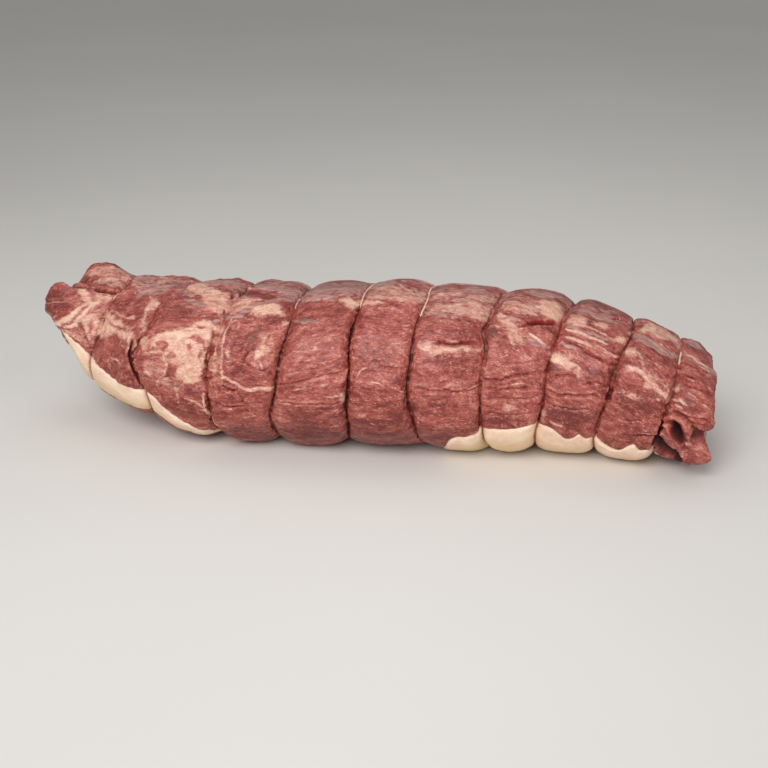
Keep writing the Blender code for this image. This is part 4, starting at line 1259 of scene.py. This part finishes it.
meatColours = {
    "deep": colour(112, 34, 28), "red": colour(161, 72, 61), "pink": colour(192, 114, 99),
    "pale": colour(222, 168, 149), "fat": colour(236, 202, 174), "fatPink": colour(208, 148, 129),
    "silver": colour(140, 102, 97), "silverLight": colour(200, 154, 142),
    # the crease colour and the near-black red after it are painted shade for creases, seams and pits
    "dash": colour(226, 176, 156), "crease": colour(98, 28, 24), "hollow": colour(44, 9, 8),
    # the first colour here is partly the meat's darker tone, partly painted shade low down and in
    # recesses
    "darkToneAndShade": colour(99, 27, 21), "dry": colour(108, 74, 58), "gash": colour(150, 36, 34),
}


# noises of the meat's colour and bump: stretch along the grain and across it, scale per mm,
# detail, roughness, distortion
meatGrain = {
    "broad": (1, 1.8, 0.035, 3, 0.6, 0), "bundle": (1, 2, 0.13, 4, 0.65, 0),
    "fibre": (1, 2.8, 0.34, 4, 0.7, 0), "speck": (0.75, 1.8, 0.8, 2, 0.6, 0),
    "edge": (1, 1.5, 0.17, 5, 0.7, 0), "fine": (1, 2, 0.55, 4, 0.7, 0),
    "vein": (1, 1.9, 0.065, 2, 0.5, 0.6), "dash": (0.8, 3.4, 0.42, 2, 0.5, 0),
    "streak": (1, 3.4, 0.16, 4, 0.65, 0),
}


def fleshColour(s, tone, grain):
    # muscle fibre between deep red and pink, with veins and dashes of marbling, and pale flecks
    # that are partly marbling and partly painted wet glints
    broad, bundle, fine, speck = (grain[name] for name in ("broad", "bundle", "fine", "speck"))
    shade = tone * 0.8 - 0.43 + (broad - 0.5) * 1.2 + (bundle - 0.5) * 1.9
    shade = shade + (grain["fibre"] - 0.5) * 1.5 + (speck - 0.5) * 1.1
    base = (shade + 0.5).between(0.05, 0.55).blend(meatColours["deep"], meatColours["red"])
    base = (shade + 0.5).between(0.5, 1.0).blend(base, meatColours["pink"])
    # pale flecks: partly marbling, partly painted wet glints
    fleckAndGlint = (speck * 0.55 + fine * 0.45 + (bundle - 0.5) * 0.4).between(0.575, 0.67)
    base = (fleckAndGlint * (0.15 + tone * 0.9)).blend(base, meatColours["pale"])
    veins = (1 - s.sum("ABSOLUTE", grain["vein"] - 0.5) * 34).bigger(0)
    veins = veins * broad.between(0.5, 0.68) * fine.between(0.42, 0.6)
    base = (veins * 0.75).blend(base, meatColours["pale"])
    dash = grain["dash"].between(0.63, 0.7) * bundle.between(0.42, 0.54)
    return (dash * 0.85).blend(base, meatColours["dash"])


def coveredColour(base, fatAt, silverAt, grain):
    # silverskin, then fat, over the flesh; the fields are 12 mm to the unit with their
    # outline at one half, and noise along the grain breaks their edges
    bundle, edge, fine, streak = (grain[name] for name in ("bundle", "edge", "fine", "streak"))
    silverField = (silverAt - 0.5) * 12 + (edge - 0.5) * 7 + (streak - 0.5) * 9
    silverField = silverField + (bundle - 0.5) * 4
    film = streak.between(0.34, 0.66).blend(meatColours["silver"], meatColours["silverLight"])
    base = (silverField.between(-0.6, 1.8) * 0.8).blend(base, film)
    fatField = (fatAt - 0.5) * 12 + (edge - 0.5) * 8 + (streak - 0.5) * 5 + (fine - 0.5) * 4
    isFat = fatField.between(-1.1, 1.9)
    rim = (fatField + (fine - 0.5) * 8 + (bundle - 0.5) * 6).between(0.8, 5.2)
    rim = rim.blend(meatColours["fatPink"], meatColours["fat"])
    base = (isFat * 0.9).blend(base, rim)
    stained = (fine * 0.5 + edge * 0.5).between(0.56, 0.66) * 0.45
    return (isFat * stained).blend(base, meatColours["red"]), isFat


def leanMaterial():
    # flesh, silverskin and fat, then dry meat, gashes, darker tones that are partly the meat's own
    # and partly painted shade, and painted shade in the creases, seams and pits over them
    material, s = newMaterial("leanBeef")
    cover, tone = s.layer("cover", 0), s.layer("cover", 3)
    extra, way = s.layer("extra"), s.layer("grain")
    fatAt, silverAt, creaseShadeAt = (cover.split(k) for k in range(3))
    dryAt, gashAt = extra.split(0), extra.split(1)
    grain = {name: way.scaled(along, across, across).noise(*rest)
             for name, (along, across, *rest) in meatGrain.items()}
    base, isFat = coveredColour(fleshColour(s, tone, grain), fatAt, silverAt, grain)
    base = (dryAt * 0.8).blend(base, meatColours["dry"])
    base = (gashAt * 0.75).blend(base, meatColours["gash"])
    # darker where the tone is low: partly the meat's own tone, partly painted shade low down and in
    # recesses
    darkToneAndShade = (0.5 - tone).between(0.0, 0.5) * 0.5
    base = darkToneAndShade.blend(base, meatColours["darkToneAndShade"])
    # painted shade in the creases, seams and pits, near-black in the deepest
    base = creaseShadeAt.between(0.15, 0.75).blend(base, meatColours["crease"])
    base = (creaseShadeAt.between(0.7, 1.0) * 0.85).blend(base, meatColours["hollow"])
    rough = 0.28 + grain["fibre"] * 0.24 + isFat * 0.1 + creaseShadeAt * 0.5
    height = (grain["bundle"] * 0.4 + grain["fibre"] * 0.5 + grain["speck"] * 0.1
              + grain["fine"] * 0.15) * (1 - isFat * 0.35)
    finishMaterial(s, base, rough, height, 0.0015, {
        "Specular IOR Level": 0.5, "Coat Weight": 0.15, "Coat Roughness": 0.2})
    return material


fatColours = {
    "light": colour(252, 228, 202), "shade": colour(236, 200, 174),
    "yellow": colour(226, 194, 138), "pink": colour(226, 172, 152),
    # the fold colour is painted shade for the creases and wrinkles
    "speck": colour(216, 164, 136), "fold": colour(158, 92, 74),
    "flesh": colour(146, 64, 56), "fleshPale": colour(188, 116, 101),
}


def capMaterial():
    # cream fat, pink at its front edge, yellower beneath; painted shade in its wrinkles and creases
    material, s = newMaterial("beefFat")
    cover = s.layer("cover", 0)
    tone = s.layer("cover", 3)
    way = s.layer("grain")
    raw = s.layer("extra").split(0)
    blush, under, fold = (cover.split(k) for k in range(3))
    mottle = way.noise(0.09, 4, 0.6)
    small = way.noise(0.5, 3, 0.6)
    base = (tone + (mottle - 0.5) * 1.8).between(0.2, 0.9)
    base = base.blend(fatColours["shade"], fatColours["light"])
    base = (under * 0.8 * mottle.between(0.3, 0.62)).blend(base, fatColours["yellow"])
    base = ((blush * 0.5 + mottle - 0.3).between(0.3, 0.75) * 0.45).blend(base, fatColours["pink"])
    base = (small.between(0.6, 0.75) * 0.2).blend(base, fatColours["speck"])
    strand = way.scaled(1, 2.4, 2.4).noise(0.3, 4, 0.7)
    flesh = (mottle * 0.4 + strand * 0.6).between(0.42, 0.62)
    flesh = flesh.blend(fatColours["flesh"], fatColours["fleshPale"])
    base = (raw + (small - 0.5) * 0.5).between(0.3, 0.6).blend(base, flesh)
    # painted shade in the creases along the strings and in the wrinkles
    base = (fold.between(0.3, 1.0) * 0.8).blend(base, fatColours["fold"])
    finishMaterial(s, base, 0.42 + mottle * 0.1, mottle * 0.7 + small * 0.3, 0.0007, {
        "Specular IOR Level": 0.45})
    return material


cottonColours = {
    "light": colour(228, 204, 182), "shade": colour(170, 120, 104),
    "stain": colour(196, 130, 116),
}


def stringMaterial():
    # off-white cotton: darker between the plies, with fine slanting fibres
    material, s = newMaterial("cottonTwine")
    way = s.layer("grain")
    ply = way.split(2)
    hair = way.scaled(1, 2.2, 1).noise(3.0, 3, 0.6)
    stain = way.scaled(1, 0.1, 0.1).noise(0.12, 2)
    base = (ply * 0.8 + hair * 0.4).between(0.1, 0.9)
    base = base.blend(cottonColours["shade"], cottonColours["light"])
    base = (stain.between(0.5, 0.7) * 0.6).blend(base, cottonColours["stain"])
    finishMaterial(s, base, 0.8, ply * 0.5 + hair * 0.5, 0.0002, {"Specular IOR Level": 0.2})
    return material


studio = {
    "camera": (0.1411, -0.9524, 0.4213), "tilt": 68.37, "turn": 8.0, "lens": 67.03,
    "world": 0.34,
    "floor": colour(214, 211, 206), "dust": colour(226, 223, 218), "side": 20.0,
    # name, place, size, watts, spread in degrees; all of them aim at the same point
    "lamps": [("keyLight", (-0.25, -1.25, 1.05), 1.1, 4.7, 75),
              ("fillLight", (1.0, -0.8, 0.7), 1.0, 2.6, 180),
              ("topLight", (0.0, 0.3, 1.3), 1.2, 2.2, 180)],
    "aim": (0, 0, 0.05),
}


def addLamps(collection):
    # soft round lamps, each turned to the aim
    for name, place, size, watts, spread in studio["lamps"]:
        lamp = bpy.data.lights.new(name, "AREA")
        lamp.shape, lamp.size, lamp.energy = "DISK", size, watts
        lamp.spread = math.radians(spread)
        item = bpy.data.objects.new(name, lamp)
        item.location = place
        way = mathutils.Vector(studio["aim"]) - mathutils.Vector(place)
        item.rotation_euler = way.to_track_quat("-Z", "Y").to_euler()
        collection.objects.link(item)


def addFloor(collection):
    # a pale floor, faintly mottled
    side = studio["side"]
    mesh = bpy.data.meshes.new("floor")
    mesh.from_pydata([(-side, -side, 0), (side, -side, 0), (side, side, 0), (-side, side, 0)],
                     [], [(0, 1, 2, 3)])
    material, s = newMaterial("paleFloor")
    place = s.node("ShaderNodeTexCoord", None, None, 3)
    dust = place.noise(2.0, 2)
    tint = dust.blend(studio["floor"], studio["dust"])
    finishMaterial(s, tint, 0.7, dust, 0.0001, {"Specular IOR Level": 0.2})
    mesh.materials.append(material)
    floor = bpy.data.objects.new("floor", mesh)
    collection.objects.link(floor)


def buildStudio():
    # world, camera, lamps and floor
    scene = bpy.context.scene
    world = bpy.data.worlds.new("studio")
    scene.world = world
    world.use_nodes = True
    background = world.node_tree.nodes["Background"]
    background.inputs[0].default_value = (1, 1, 1, 1)
    background.inputs[1].default_value = studio["world"]
    camera = bpy.data.objects.new("camera", bpy.data.cameras.new("camera"))
    camera.location = studio["camera"]
    camera.rotation_euler = (math.radians(studio["tilt"]), 0, math.radians(studio["turn"]))
    camera.data.lens = studio["lens"]
    camera.data.clip_start = 0.01
    scene.collection.objects.link(camera)
    scene.camera = camera
    addLamps(scene.collection)
    addFloor(scene.collection)
    scene.view_settings.view_transform = "Standard"


buildStudio()
print("studio ready")
p, rows, columns, h = leanPieces(leanMaterial())
capPiece(capMaterial())
cotton = stringMaterial()
for index in range(len(tieAt)):
    tiePiece(index, cotton, p, rows, columns, h)
print("strings ready")
